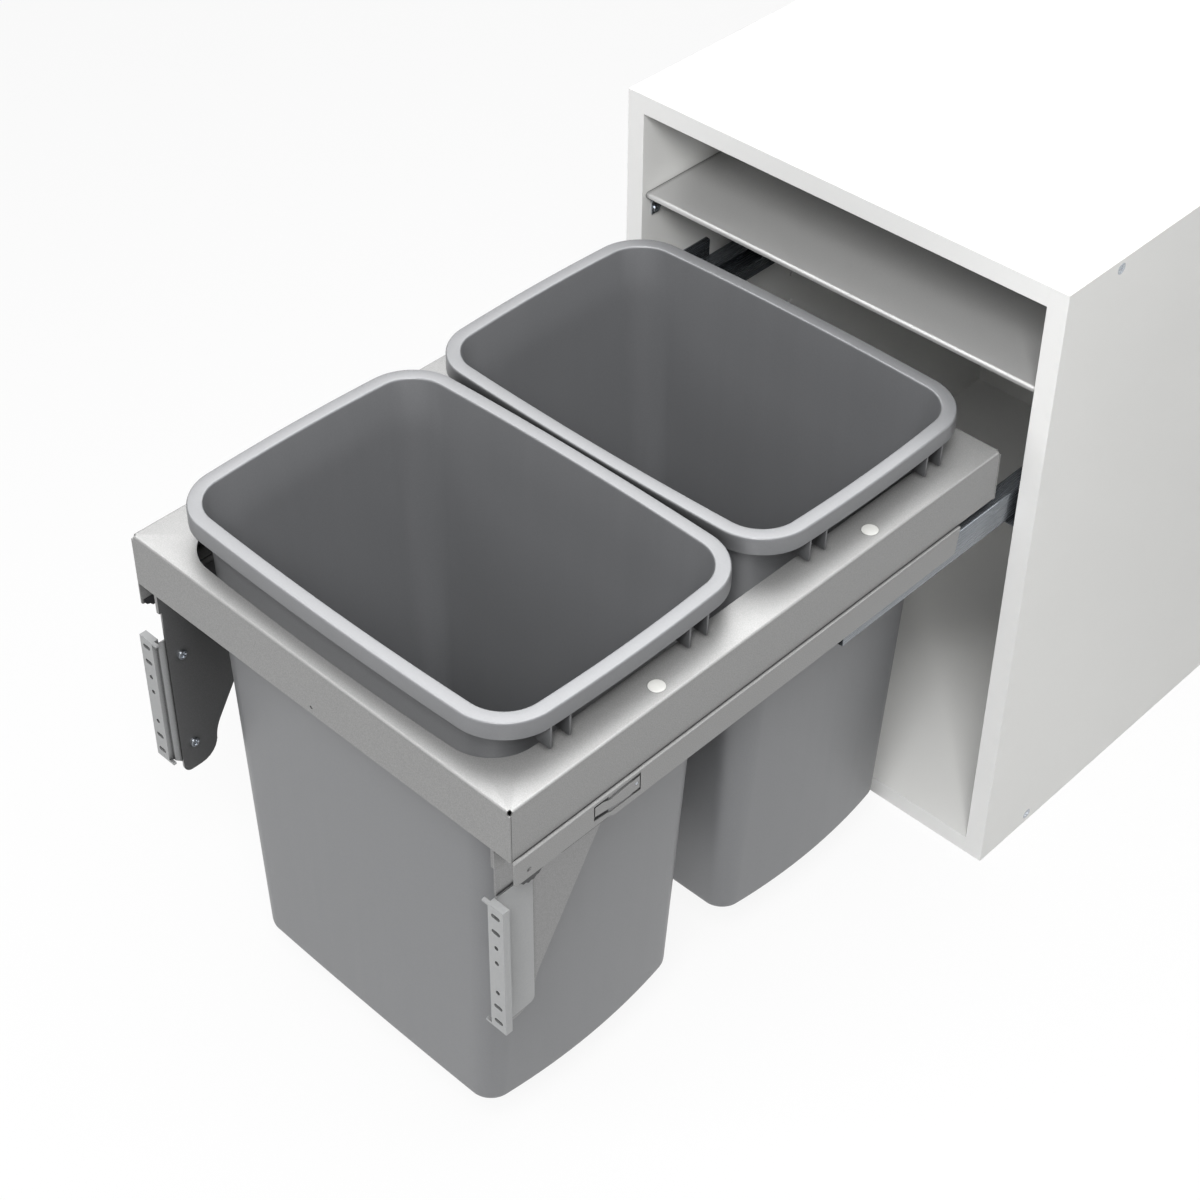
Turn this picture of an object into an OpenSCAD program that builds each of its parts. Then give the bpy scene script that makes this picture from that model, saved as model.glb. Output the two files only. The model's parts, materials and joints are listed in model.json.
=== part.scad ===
// Kitchen base cabinet with a pull-out tray frame that carries two waste bins.
// The frame's origin is the centre of the cabinet's underside. +X is to the right, +Y goes into
// the cabinet and +Z is up. The drawer is drawn fully pulled out.

/* [Cabinet] */
// Overall width of the cabinet
cabinet_w = 450; // [400:5:600]
// Overall height of the cabinet
cabinet_h = 620; // [620:5:760]
// Overall depth of the cabinet
cabinet_d = 600; // [590:5:700]
// Thickness of the side, top and bottom panels
panel_t = 18; // [15:0.5:22]
// Thickness of the back panel
back_t = 8; // [3:0.5:12]
// Free space behind the back panel
back_recess = 15; // [5:1:20]
// Depth of the groove that holds the back panel
groove_depth = 6; // [4:0.5:8]
// Play between the back panel's edge and the bottom of its groove
groove_play = 0.25; // [0.1:0.05:0.5]

/* [Carcass fixings] */
// Length of a carcass screw
carcass_screw_l = 50; // [40:1:60]
// Diameter of a carcass screw's shank
carcass_screw_d = 7; // [5:0.5:8]
// Diameter of a carcass screw's head
carcass_head_d = 10; // [9:0.5:13]
// Depth of a carcass screw's head
carcass_head_l = 4; // [3:0.5:6]
// Distance of the carcass screws from the front and rear edges
carcass_screw_inset = 70; // [50:5:120]
// Diameter of the shelf holes in the side panels
system_hole_d = 5; // [4:0.5:6]
// Depth of the shelf holes
system_hole_depth = 12; // [8:1:14]
// Pitch of the shelf holes
system_pitch = 32; // [25:1:40]
// Number of shelf holes in each side panel
system_holes = 2; // [2:1:6]
// Distance of the shelf holes from the front edge
system_hole_y = 218; // [200:1:260]
// Height of the highest shelf hole
system_hole_z = 335; // [280:1:350]
// Radial clearance of fixings in their holes
fixing_play = 0.15; // [0.05:0.05:0.25]

/* [Cover shelf] */
// Sheet thickness of the cover shelf
shelf_t = 1.2; // [0.8:0.1:2]
// Distance of the shelf's top face below the cabinet's top
shelf_drop = 99; // [60:1:99]
// Distance of the shelf's front edge behind the cabinet's front
shelf_setback = 5.5; // [2:0.5:20]
// Play of the shelf at each side panel and at the back panel
shelf_play = 0.25; // [0.1:0.05:0.5]
// Height of the shelf's folded front lip
shelf_lip = 3.2; // [2.5:0.1:6]
// Sheet thickness of a shelf bracket
bracket_leaf_t = 1.5; // [1:0.1:2]
// Length of a shelf bracket along the side panel
bracket_leaf_l = 25; // [20:1:40]
// Height of a shelf bracket's wall leaf
bracket_leaf_h = 23; // [18:1:30]
// Width of a shelf bracket's top leaf
bracket_leaf_w = 12; // [8:1:20]
// Diameter of a small screw's head
small_head_d = 7; // [6:0.5:8]
// Height of a small screw's head
small_head_h = 2; // [1.5:0.1:3]
// Diameter of a small screw's shank
small_shank_d = 4; // [3:0.5:5]
// Length of a small screw's shank
small_shank_l = 13; // [10:1:14]

/* [Runners] */
// Sheet thickness of the runner profiles
rail_t = 1.2; // [1:0.1:1.4]
// Travel of the drawer
travel = 572; // [540:1:580]
// Length of the cabinet rail
cabinet_rail_l = 557; // [550:1:560]
// Distance of the cabinet rail behind the cabinet's front
cabinet_rail_setback = 3; // [2:0.5:6]
// Height of the cabinet rail's wall web
cabinet_web_h = 19; // [15:0.5:21]
// Height of the cabinet rail's inner web
cabinet_inner_h = 16; // [12:0.5:20]
// Length of the raised lug at the cabinet rail's front
lug_l = 89; // [70:1:120]
// Height of the lug's upper edge above the drawer rail's top
lug_rise = 8; // [4:0.5:12]
// Length of the middle rail
middle_rail_l = 480; // [460:1:500]
// Distance of the closed middle rail from the cabinet rail's rear end
middle_rear_gap = 7; // [5:1:20]
// Height of the middle rail
middle_rail_h = 29; // [26:0.5:32]
// Height of the middle rail's small lips
middle_lip_h = 6; // [4:0.5:9]
// Length of the drawer rail
drawer_rail_l = 490; // [480:1:500]
// Height of the drawer rail's outer web
drawer_web_h = 23.5; // [21:0.5:25]
// Extra height of the drawer rail's outer web behind the release grip
drawer_web_step = 2.5; // [1:0.1:3]
// Height of the drawer rail's inner web
drawer_inner_h = 20; // [15:0.5:20]
// Gap between the side panel and the drawer rail
drawer_rail_gap = 2; // [1.8:0.1:3]
// Width of the drawer rail
drawer_rail_w = 21; // [20:0.5:22]
// Sideways clearance between neighbouring rails
rail_side_gap = 1.2; // [0.8:0.1:1.4]
// Diameter of a roller
roller_d = 7; // [6:0.5:7.5]
// Length of a roller
roller_l = 7; // [6:0.5:8]
// Clearance above and below a roller
roller_gap = 0.3; // [0.2:0.05:0.4]
// Clearance of a roller in its cage window
cage_play = 0.2; // [0.15:0.05:0.3]
// Thickness of a roller cage
cage_t = 3.4; // [2.5:0.1:4]
// Width of a roller cage
cage_w = 11; // [10:0.5:12]
// Length of the lower roller cage
lower_cage_l = 230; // [180:5:260]
// Length of the upper roller cage
upper_cage_l = 120; // [90:5:125]
// Number of rollers in a lower cage
lower_rollers = 6; // [4:1:8]
// Number of rollers in an upper cage
upper_rollers = 4; // [3:1:5]

/* [Tray frame] */
// Sheet thickness of the tray frame
tray_t = 1.2; // [1:0.1:1.5]
// Gap between the tray frame and each side panel
tray_gap = 4; // [3.5:0.1:6]
// Length of the tray frame
tray_l = 538; // [530:1:545]
// Height of the tray frame's side
tray_h = 48; // [40:1:52]
// Height of the tray frame's top face
tray_z = 478; // [474:1:480]
// Distance of the closed tray behind the cabinet's front
tray_setback = 6; // [4:0.5:8]
// Width of the tray's top beside the opening
tray_side_w = 33; // [28:0.5:38]
// Width of the tray's top in front of the opening, at its corners
tray_front_w = 18; // [14:0.5:20]
// Width of the tray's top behind the opening, at its corners
tray_rear_w = 10; // [9:0.5:14]
// Corner radius of the opening
opening_r = 38; // [25:1:45]
// Bow of the opening's front and rear edges
opening_bow = 5; // [0:0.5:7]
// Width of the lips under the tray's sides
tray_lip = 14; // [10:0.5:16]
// Side of the square relief at each corner fold
relief = 3; // [2:0.5:4]
// Diameter of a white plug
plug_d = 13; // [10:0.5:14]
// Height of a plug above the tray
plug_h = 0.8; // [0.5:0.1:1.5]
// Diameter of a plug's stem
plug_stem_d = 6; // [4:0.5:7]
// Length of a plug's stem
plug_stem_l = 4; // [3:0.5:6]
// Distance of the front plugs behind the tray's front
plug_front = 156; // [120:1:180]
// Distance of the rear plugs behind the tray's front
plug_rear = 391; // [330:1:420]
// Distance of the plugs from the tray's side
plug_inset = 13; // [9:0.5:16]
// Diameter of the hole in the front flange
front_hole_d = 3; // [2:0.5:5]
// Height of that hole above the flange's lower edge
front_hole_rise = 6.5; // [4:0.5:12]

/* [Release catches] */
// Length of the window in the drawer rail
window_l = 47; // [40:1:55]
// Distance of the window behind the drawer rail's front end
window_y = 77; // [60:1:100]
// Rim of the drawer rail above the window
window_rim_top = 3.6; // [3:0.1:4]
// Rim of the drawer rail below the window
window_rim_bottom = 3; // [2:0.1:3.2]
// Rise of the window's lower edge at its front end
window_front_rise = 3; // [1:0.5:3]
// Clearance round the catch in its window
catch_gap = 1; // [0.8:0.1:1.5]
// Height of the catch at its front end
catch_front_h = 8.5; // [7:0.5:9]
// Height of the catch at its rear end
catch_h = 11.6; // [11:0.1:12]
// Rise of the catch's front end above its rear end
catch_front_rise = 1; // [0:0.1:1]
// Depth of the dip in the catch's upper edge behind its front end
catch_dip = 2; // [0:0.5:3]
// Diameter of a catch pin
catch_pin_d = 3; // [2.5:0.1:4]

/* [Release grips] */
// Distance of the grip behind the drawer rail's front end
grip_setback = 2; // [1:0.5:4]
// Length of the toothed grip
grip_l = 30; // [25:1:40]
// Reach of the grip below the drawer rail
grip_drop = 7.5; // [5:0.5:8]
// Depth of the grip's teeth
grip_tooth = 1.2; // [0.5:0.1:1.5]
// Number of the grip's teeth
grip_teeth = 6; // [4:1:8]
// Height of the grip's arm behind the drawer rail's web
grip_arm_h = 4; // [3:0.5:6]
// Sideways clearance of the grip beside the drawer rail's web
grip_play = 0.05; // [0.02:0.01:0.1]

/* [Front brackets] */
// Plate thickness of a front bracket
plate_t = 2; // [1.5:0.1:2.5]
// Distance of the plate's front edge behind the tray's front
plate_setback = 3.5; // [3:0.1:6]
// Height of the plate's lower edge
plate_bottom_z = 235; // [230:1:240]
// Length of the plate at its lower edge
plate_foot_l = 35; // [32:1:38]
// Height of the plate's straight rear edge
plate_heel_h = 26; // [24:1:32]
// Length of the plate at the drawer rail
plate_top_l = 138; // [115:1:142]
// Radius of the plate's rear lower corner
plate_heel_r = 18; // [10:1:18]
// Radius between the plate's straight and slanted rear edges
plate_shoulder_r = 40; // [10:5:40]
// Radius of the plate's front lower corner
plate_toe_r = 8; // [4:0.5:9]
// Length of the tongue that reaches up to the tray's top
plate_tongue_l = 42; // [30:1:60]
// Diameter of a rivet's shank
rivet_d = 4; // [3:0.5:5]
// Diameter of a rivet's head
rivet_head_d = 7; // [6:0.5:8]
// Height of a rivet's head
rivet_head_h = 1; // [0.8:0.1:1.2]

/* [Door adapters] */
// Distance of the adapter's face in front of the tray
adapter_proud = 7; // [6:0.5:7]
// Width of the adapter's face
adapter_w = 15; // [14:0.5:16]
// Gap between the adapter's face and the bracket plate
adapter_gap = 2.2; // [1.5:0.1:3]
// Height of the adapter
adapter_h = 130; // [125:1:140]
// Height of the adapter's lower end
adapter_z = 253; // [250:1:258]
// Thickness of the adapter's face
adapter_face_t = 2.8; // [2:0.1:4]
// Thickness of the adapter's walls and ends
adapter_wall = 2; // [1.5:0.1:2.5]
// Depth of the adapter's walls
adapter_wall_d = 6.4; // [5:0.1:8]
// Thickness of the leaf that lies on the plate
leaf_t = 1.6; // [1.2:0.1:3]
// Depth of that leaf from the adapter's face
leaf_d = 44; // [38:1:46]
// Distance of the leaf below the adapter's upper end
leaf_inset = 3; // [2:0.5:4]
// Reach of the leaf below the adapter's lower end
leaf_drop = 12; // [6:1:14]
// Radius of the leaf's rear lower corner
leaf_r = 5; // [3:0.5:8]
// Reach of the small ears past the adapter's inner edge
ear_w = 3.5; // [2:0.5:5]
// Pitch of the door holes
door_pitch = 16; // [15:0.5:17]
// Diameter of the round door holes and height of the slots
door_hole_d = 4; // [3:0.5:5]
// Length of the slots
door_slot_l = 8.4; // [7:0.1:9.5]
// Distance of the highest slot below the adapter's upper end
door_hole_top = 9; // [8:0.5:10]
// Diameter of an adapter screw's head
adapter_head_d = 8; // [7:0.5:9]
// Distance of the adapter screws behind the plate's front edge
adapter_screw_y = 13; // [10:0.5:16]

/* [Bins] */
// Height of a bin
bin_h = 445; // [400:5:450]
// Height of the rim above the tray's top
rim_rise = 37; // [30:0.5:37]
// Height of the rim's skirt
skirt_h = 15.5; // [15:0.5:25]
// Wall thickness of a bin
bin_wall = 2.2; // [1.8:0.1:3]
// Outer depth of a bin at its rim
rim_depth = 260; // [250:1:260]
// Gap between the two rims
rim_gap = 3; // [1:0.5:3]
// Distance of the front rim behind the tray's front
rim_front = 14; // [13:0.5:16]
// Reach of the rim beyond the wall at its sides
rim_overhang = 16.5; // [14:0.5:18]
// Width of the rim's flat top
rim_flat = 12; // [12:0.5:15]
// Corner radius of the rim
rim_r = 41; // [30:1:50]
// Bow of the rim's sides
rim_bow = 4.5; // [0:0.5:6]
// Gap between the bin's wall and the sides of the opening
bin_gap = 3; // [2.5:0.5:5]
// Depth of the wall at the tray's level
body_depth = 236; // [226:1:238]
// Distance of the outward wall from the rim's edge at the tray's level
body_front = 11; // [10:0.5:13]
// Corner radius of the wall at the tray's level
body_r = 32; // [20:1:36]
// Width of the bin's base at its corners
base_w = 273; // [240:1:285]
// Depth of the bin's base
base_depth = 212; // [190:1:220]
// Distance of the base from the rim's edge, on the outward side
base_front = 18; // [16:0.5:24]
// Corner radius of the base
base_r = 17; // [12:0.5:30]
// Bow of the base's sides
base_side_bow = 9.5; // [0:0.5:11]
// Bow of the base's front and rear
base_front_bow = 1.5; // [0:0.5:4]
// Radius of the bin's bottom edge
base_edge_r = 5; // [3:0.5:8]
// Thickness of a rib
rib_t = 1.8; // [1.2:0.1:2.5]
// Width of a rib beyond the wall
rib_w = 13; // [10:0.5:14]
// Distance between the two ribs of a pair
rib_pair = 18.5; // [14:0.5:24]
// Distance between the middles of a bin's two pairs
rib_spread = 139; // [100:1:150]

/* [Hidden] */
$fn = 48;

// Overrun of every cut
cut = 1;
// Overlap that joins the walls of one piece
weld = 0.5;

// Colours of the real materials
white_melamine = [0.91, 0.91, 0.90];
silver_coat = [0.76, 0.78, 0.78];
zinc_steel = [0.66, 0.68, 0.70];
grey_bin = [0.50, 0.52, 0.53];
pale_plastic = [0.69, 0.70, 0.71];
dark_plastic = [0.20, 0.20, 0.21];
white_plastic = [0.93, 0.93, 0.92];

// Cabinet
inner_w = cabinet_w - 2 * panel_t;
front_y = -cabinet_d / 2;
back_face = cabinet_d - back_recess - back_t;
shelf_z = cabinet_h - shelf_drop;
shelf_under_z = shelf_z - shelf_t;

// Levels of the runners, from the drawer rail's top downwards
drawer_top_z = tray_z - tray_h;
roller_space = roller_d + 2 * roller_gap;
middle_top_z = drawer_top_z - rail_t - roller_space;
middle_bottom_z = middle_top_z - middle_rail_h;
cabinet_base_top_z = middle_bottom_z - roller_space;
cabinet_base_z = cabinet_base_top_z - rail_t;

// Places across the runners, measured from the side panel
drawer_inner_x = drawer_rail_gap + drawer_rail_w;
middle_x = drawer_rail_gap + rail_t + rail_side_gap;
cabinet_inner_x = drawer_inner_x - rail_side_gap;
middle_w = cabinet_inner_x - rail_t - rail_side_gap - middle_x;
cage_x = middle_x + (middle_w - cage_w) / 2;

// Places along the runners, measured from the cabinet's front, with the drawer pulled out
tray_y = tray_setback - travel;
drawer_rail_y = tray_y + tray_t;
cabinet_rail_end = cabinet_rail_setback + cabinet_rail_l;
middle_y = cabinet_rail_end - middle_rear_gap - middle_rail_l - travel / 2;
lower_cage_y = cabinet_rail_setback + 2 * rail_t + (middle_y + middle_rail_l
    - cabinet_rail_setback - lower_cage_l) / 2;
upper_cage_y = middle_y + (drawer_rail_y + drawer_rail_l - middle_y - upper_cage_l) / 2;
rail_screw_z = drawer_top_z - rivet_head_d;
rail_screw_low_z = cabinet_base_z + cabinet_web_h / 2;
lug_screw_ys = [lug_l - 1.4 * small_head_d, lug_l / 2];
lug_top_z = drawer_top_z + lug_rise;
rear_screw_share = 0.92;
middle_screw_share = 0.5;

// Tray and front brackets
tray_w = inner_w - 2 * tray_gap;
opening_w = tray_w - 2 * tray_side_w;
plate_y = tray_y + plate_setback;
tongue_y = tray_y + tray_t;
tongue_top_z = tray_z - tray_t;
plug_xs = [-1, 1] * (tray_w / 2 - plug_inset);
bracket_rivet_z = drawer_top_z - drawer_inner_h / 2;
bracket_rivet_shares = [0.12, 0.45, 0.78];
tray_rivet_shares = [0.05, 0.4];
tray_rivet_x = tray_gap + tray_lip / 2;

// Door adapters
adapter_y = tray_y - adapter_proud;
adapter_x = drawer_inner_x - adapter_gap - adapter_w;
adapter_inner_x = adapter_x + adapter_w;
adapter_mid_x = adapter_x + adapter_w / 2;
door_top_z = adapter_z + adapter_h - door_hole_top;
door_slots = [0, 1, 6, 7];
door_rounds = [2, 3, 5];

// Release catches
window_start = drawer_rail_y + window_y;
window_end = window_start + window_l;
window_top_z = drawer_top_z - window_rim_top;
web_low_z = drawer_top_z - drawer_web_h;
window_bottom_z = web_low_z + window_rim_bottom;
window_mid_z = (window_top_z + window_bottom_z) / 2;
catch_front_y = window_start + catch_gap;
catch_rear_y = window_end - catch_gap;
catch_tab_l = catch_pin_d;
catch_pin_y = catch_rear_y - catch_tab_l;
catch_step_y = catch_front_y + window_l / 3;
catch_back_t = rail_side_gap * 2 / 3;
catch_low_z = window_mid_z - catch_h / 2;
catch_high_z = window_mid_z + catch_h / 2;
catch_front_z = catch_high_z + catch_front_rise;

// Bins: the ring of a wall level is [half width, half depth, corner radius, side bow,
// front bow, middle y], measured from the middle of the rim
rim_z = tray_z + rim_rise;
bin_z = rim_z - bin_h;
wall_w = opening_w - 2 * bin_gap;
rim_w = wall_w + 2 * rim_overhang;
ring_steps = 10;
side_steps = 6;
inner_corner_min = 2;
edge_round = 3;
bin_ys = [tray_y + rim_front + rim_depth / 2,
    tray_y + rim_front + rim_depth * 3 / 2 + rim_gap];

// Places a piece of the left runner: x is measured from the left side panel's inner face and y
// from the cabinet's front
module on_left() {
    translate([-inner_w / 2, front_y, 0]) children();
}

// The same on the right, mirrored
module on_right() {
    mirror([1, 0, 0]) on_left() children();
}

// Box given by its lowest and its highest corner
module box(low, high) {
    translate(low) cube(high - low);
}

// Round bar along +X from a point
module bar_x(at, d, l) {
    translate(at) rotate([0, 90, 0]) cylinder(d = d, h = l);
}

// Round bar along +Z from a point
module bar_z(at, d, l) {
    translate(at) cylinder(d = d, h = l);
}

// Plate in the YZ plane, from an outline of [y, z] points, at x with thickness t
module yz_plate(x, t, outline) {
    translate([x, 0, 0]) rotate([90, 0, 90]) linear_extrude(t) polygon(outline);
}

// Carcass

// Screws through a side panel, drawn at the left
function carcass_screw_ys() = [carcass_screw_inset, cabinet_d - carcass_screw_inset];
function carcass_screw_zs() = [panel_t / 2, cabinet_h - panel_t / 2];

module carcass_screw_set(play) {
    for (y = carcass_screw_ys(), z = carcass_screw_zs()) {
        bar_x([-panel_t - (play > 0 ? cut : 0), y, z], carcass_head_d + 2 * play,
            carcass_head_l + (play > 0 ? cut + play : 0));
        bar_x([-panel_t, y, z], carcass_screw_d + 2 * play, carcass_screw_l + play);
    }
}

module side_panel() {
    difference() {
        box([-panel_t, 0, 0], [0, cabinet_d, cabinet_h]);
        box([-groove_depth - groove_play, back_face, panel_t - groove_depth - groove_play],
            [cut, back_face + back_t, cabinet_h - panel_t + groove_depth + groove_play]);
        carcass_screw_set(fixing_play);
        for (i = [0 : system_holes - 1])
            bar_x([-system_hole_depth, system_hole_y, system_hole_z - i * system_pitch],
                system_hole_d, system_hole_depth + cut);
        rail_screw_set(fixing_play);
        shelf_screw_set(fixing_play);
    }
}

module side_panel_left() {
    color(white_melamine) on_left() side_panel();
}

module side_panel_right() {
    color(white_melamine) on_right() side_panel();
}

// Horizontal panel between the sides, with the groove on its inner face
module flat_panel(z, groove_z) {
    difference() {
        box([-inner_w / 2, front_y, z], [inner_w / 2, -front_y, z + panel_t]);
        box([-inner_w / 2 - cut, front_y + back_face, groove_z],
            [inner_w / 2 + cut, front_y + back_face + back_t, groove_z + groove_depth + groove_play]);
        on_left() carcass_screw_set(fixing_play);
        on_right() carcass_screw_set(fixing_play);
    }
}

module top_panel() {
    color(white_melamine) flat_panel(cabinet_h - panel_t, cabinet_h - panel_t);
}

module bottom_panel() {
    color(white_melamine) flat_panel(0, panel_t - groove_depth - groove_play);
}

module back_panel() {
    color(white_melamine)
        box([-inner_w / 2 - groove_depth, front_y + back_face, panel_t - groove_depth],
            [inner_w / 2 + groove_depth, front_y + back_face + back_t,
                cabinet_h - panel_t + groove_depth]);
}

module carcass_screws() {
    color(zinc_steel) {
        on_left() carcass_screw_set(0);
        on_right() carcass_screw_set(0);
    }
}

// Cover shelf and its brackets

shelf_back = back_face - shelf_play;
shelf_bracket_ys = [shelf_setback + 2 * shelf_lip, shelf_back - bracket_leaf_l - shelf_lip];

module cover_shelf() {
    shelf_x = inner_w / 2 - shelf_play;
    color(silver_coat) {
        box([-shelf_x, front_y + shelf_setback, shelf_under_z],
            [shelf_x, front_y + shelf_back, shelf_z]);
        box([-shelf_x, front_y + shelf_setback, shelf_z - shelf_lip],
            [shelf_x, front_y + shelf_setback + shelf_t, shelf_z]);
    }
}

// Angle bracket under the shelf: a wall leaf with a slanted lower edge and a top leaf
module shelf_bracket(y) {
    foot = bracket_leaf_l / 3;
    low_z = shelf_under_z - bracket_leaf_h;
    difference() {
        union() {
            yz_plate(0, bracket_leaf_t, [[y, shelf_under_z], [y, low_z], [y + foot, low_z],
                [y + bracket_leaf_l, shelf_under_z - 2 * bracket_leaf_t],
                [y + bracket_leaf_l, shelf_under_z]]);
            box([0, y, shelf_under_z - bracket_leaf_t],
                [bracket_leaf_w, y + bracket_leaf_l, shelf_under_z]);
        }
        shelf_screw_set(fixing_play);
    }
}

function shelf_screw_z() = shelf_under_z - bracket_leaf_h + small_head_d * 2 / 3;

module shelf_screw_set(play) {
    for (y = shelf_bracket_ys)
        bar_x([-small_shank_l, y + small_head_d * 2 / 3, shelf_screw_z()],
            small_shank_d + 2 * play, small_shank_l + bracket_leaf_t + (play > 0 ? cut : 0));
}

module shelf_screw_heads() {
    for (y = shelf_bracket_ys)
        bar_x([bracket_leaf_t, y + small_head_d * 2 / 3, shelf_screw_z()],
            small_head_d, small_head_h);
}

module shelf_brackets_left() {
    color(zinc_steel) on_left() for (y = shelf_bracket_ys) shelf_bracket(y);
}

module shelf_brackets_right() {
    color(zinc_steel) on_right() for (y = shelf_bracket_ys) shelf_bracket(y);
}

module shelf_screws() {
    color(zinc_steel) {
        on_left() {
            shelf_screw_set(0);
            shelf_screw_heads();
        }
        on_right() {
            shelf_screw_set(0);
            shelf_screw_heads();
        }
    }
}

// Cabinet rail: a wall web with a raised front lug, a base and an inner web

// Each point is [y, z] of a screw through the wall web
function rail_screw_points() = concat(
    [for (y = lug_screw_ys) [cabinet_rail_setback + y, rail_screw_z]],
    [for (share = [middle_screw_share, rear_screw_share])
        [cabinet_rail_setback + share * cabinet_rail_l, rail_screw_low_z]]);

module rail_screw_set(play) {
    for (p = rail_screw_points()) {
        bar_x([-small_shank_l, p[0], p[1]], small_shank_d + 2 * play, small_shank_l + rail_t / 2);
        translate([0, p[0], p[1]]) rotate([0, 90, 0])
            cylinder(d1 = small_shank_d + 2 * play, d2 = small_head_d + 2 * play, h = rail_t);
        if (play > 0)
            bar_x([rail_t, p[0], p[1]], small_head_d + 2 * play, cut);
    }
}

module cabinet_rail() {
    start = cabinet_rail_setback;
    web_top = cabinet_base_z + cabinet_web_h;
    chamfer = lug_rise / 2;
    difference() {
        union() {
            yz_plate(0, rail_t, [[start, cabinet_base_z], [cabinet_rail_end, cabinet_base_z],
                [cabinet_rail_end, web_top], [start + lug_l + chamfer, web_top],
                [start + lug_l, web_top + chamfer], [start + lug_l, lug_top_z - chamfer],
                [start + lug_l - chamfer, lug_top_z], [start, lug_top_z]]);
            box([0, start, cabinet_base_z], [cabinet_inner_x, cabinet_rail_end, cabinet_base_top_z]);
            box([cabinet_inner_x - rail_t, start, cabinet_base_z],
                [cabinet_inner_x, cabinet_rail_end, cabinet_base_z + cabinet_inner_h]);
        }
        rail_screw_set(fixing_play);
    }
}

module cabinet_rail_left() {
    color(zinc_steel) on_left() cabinet_rail();
}

module cabinet_rail_right() {
    color(zinc_steel) on_right() cabinet_rail();
}

module rail_screws() {
    color(zinc_steel) {
        on_left() rail_screw_set(0);
        on_right() rail_screw_set(0);
    }
}

// Middle rail: a lipped channel that opens towards the middle of the cabinet

module middle_rail() {
    end = middle_y + middle_rail_l;
    right_x = middle_x + middle_w;
    box([middle_x, middle_y, middle_bottom_z], [middle_x + rail_t, end, middle_top_z]);
    box([middle_x, middle_y, middle_top_z - rail_t], [right_x, end, middle_top_z]);
    box([middle_x, middle_y, middle_bottom_z], [right_x, end, middle_bottom_z + rail_t]);
    box([right_x - rail_t, middle_y, middle_top_z - middle_lip_h], [right_x, end, middle_top_z]);
    box([right_x - rail_t, middle_y, middle_bottom_z],
        [right_x, end, middle_bottom_z + middle_lip_h]);
}

module middle_rail_left() {
    color(zinc_steel) on_left() middle_rail();
}

module middle_rail_right() {
    color(zinc_steel) on_right() middle_rail();
}

// Roller cages: a flat strip with one window for each roller

function roller_ys(start, length, count) =
    [for (i = [0 : count - 1]) start + length * (i + 0.5) / count];

module cage(start, length, count, bottom_z) {
    mid_z = bottom_z + roller_space / 2;
    mid_x = cage_x + cage_w / 2;
    window_x = roller_l / 2 + cage_play;
    window_half = roller_d / 2 + cage_play;
    difference() {
        box([cage_x, start, mid_z - cage_t / 2], [cage_x + cage_w, start + length, mid_z + cage_t / 2]);
        for (y = roller_ys(start, length, count))
            box([mid_x - window_x, y - window_half, mid_z - cage_t],
                [mid_x + window_x, y + window_half, mid_z + cage_t]);
    }
}

module rollers(start, length, count, bottom_z) {
    for (y = roller_ys(start, length, count))
        bar_x([cage_x + (cage_w - roller_l) / 2, y, bottom_z + roller_space / 2],
            roller_d, roller_l);
}

module lower_cage_left() {
    color(dark_plastic) on_left()
        cage(lower_cage_y, lower_cage_l, lower_rollers, cabinet_base_top_z);
}

module lower_cage_right() {
    color(dark_plastic) on_right()
        cage(lower_cage_y, lower_cage_l, lower_rollers, cabinet_base_top_z);
}

module lower_rollers_left() {
    color(white_plastic) on_left()
        rollers(lower_cage_y, lower_cage_l, lower_rollers, cabinet_base_top_z);
}

module lower_rollers_right() {
    color(white_plastic) on_right()
        rollers(lower_cage_y, lower_cage_l, lower_rollers, cabinet_base_top_z);
}

module upper_cage_left() {
    color(dark_plastic) on_left()
        cage(upper_cage_y, upper_cage_l, upper_rollers, middle_top_z);
}

module upper_cage_right() {
    color(dark_plastic) on_right()
        cage(upper_cage_y, upper_cage_l, upper_rollers, middle_top_z);
}

module upper_rollers_left() {
    color(white_plastic) on_left()
        rollers(upper_cage_y, upper_cage_l, upper_rollers, middle_top_z);
}

module upper_rollers_right() {
    color(white_plastic) on_right()
        rollers(upper_cage_y, upper_cage_l, upper_rollers, middle_top_z);
}

// Drawer rail: a channel that opens downwards over the middle rail, with the catch window in
// its outer web

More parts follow.
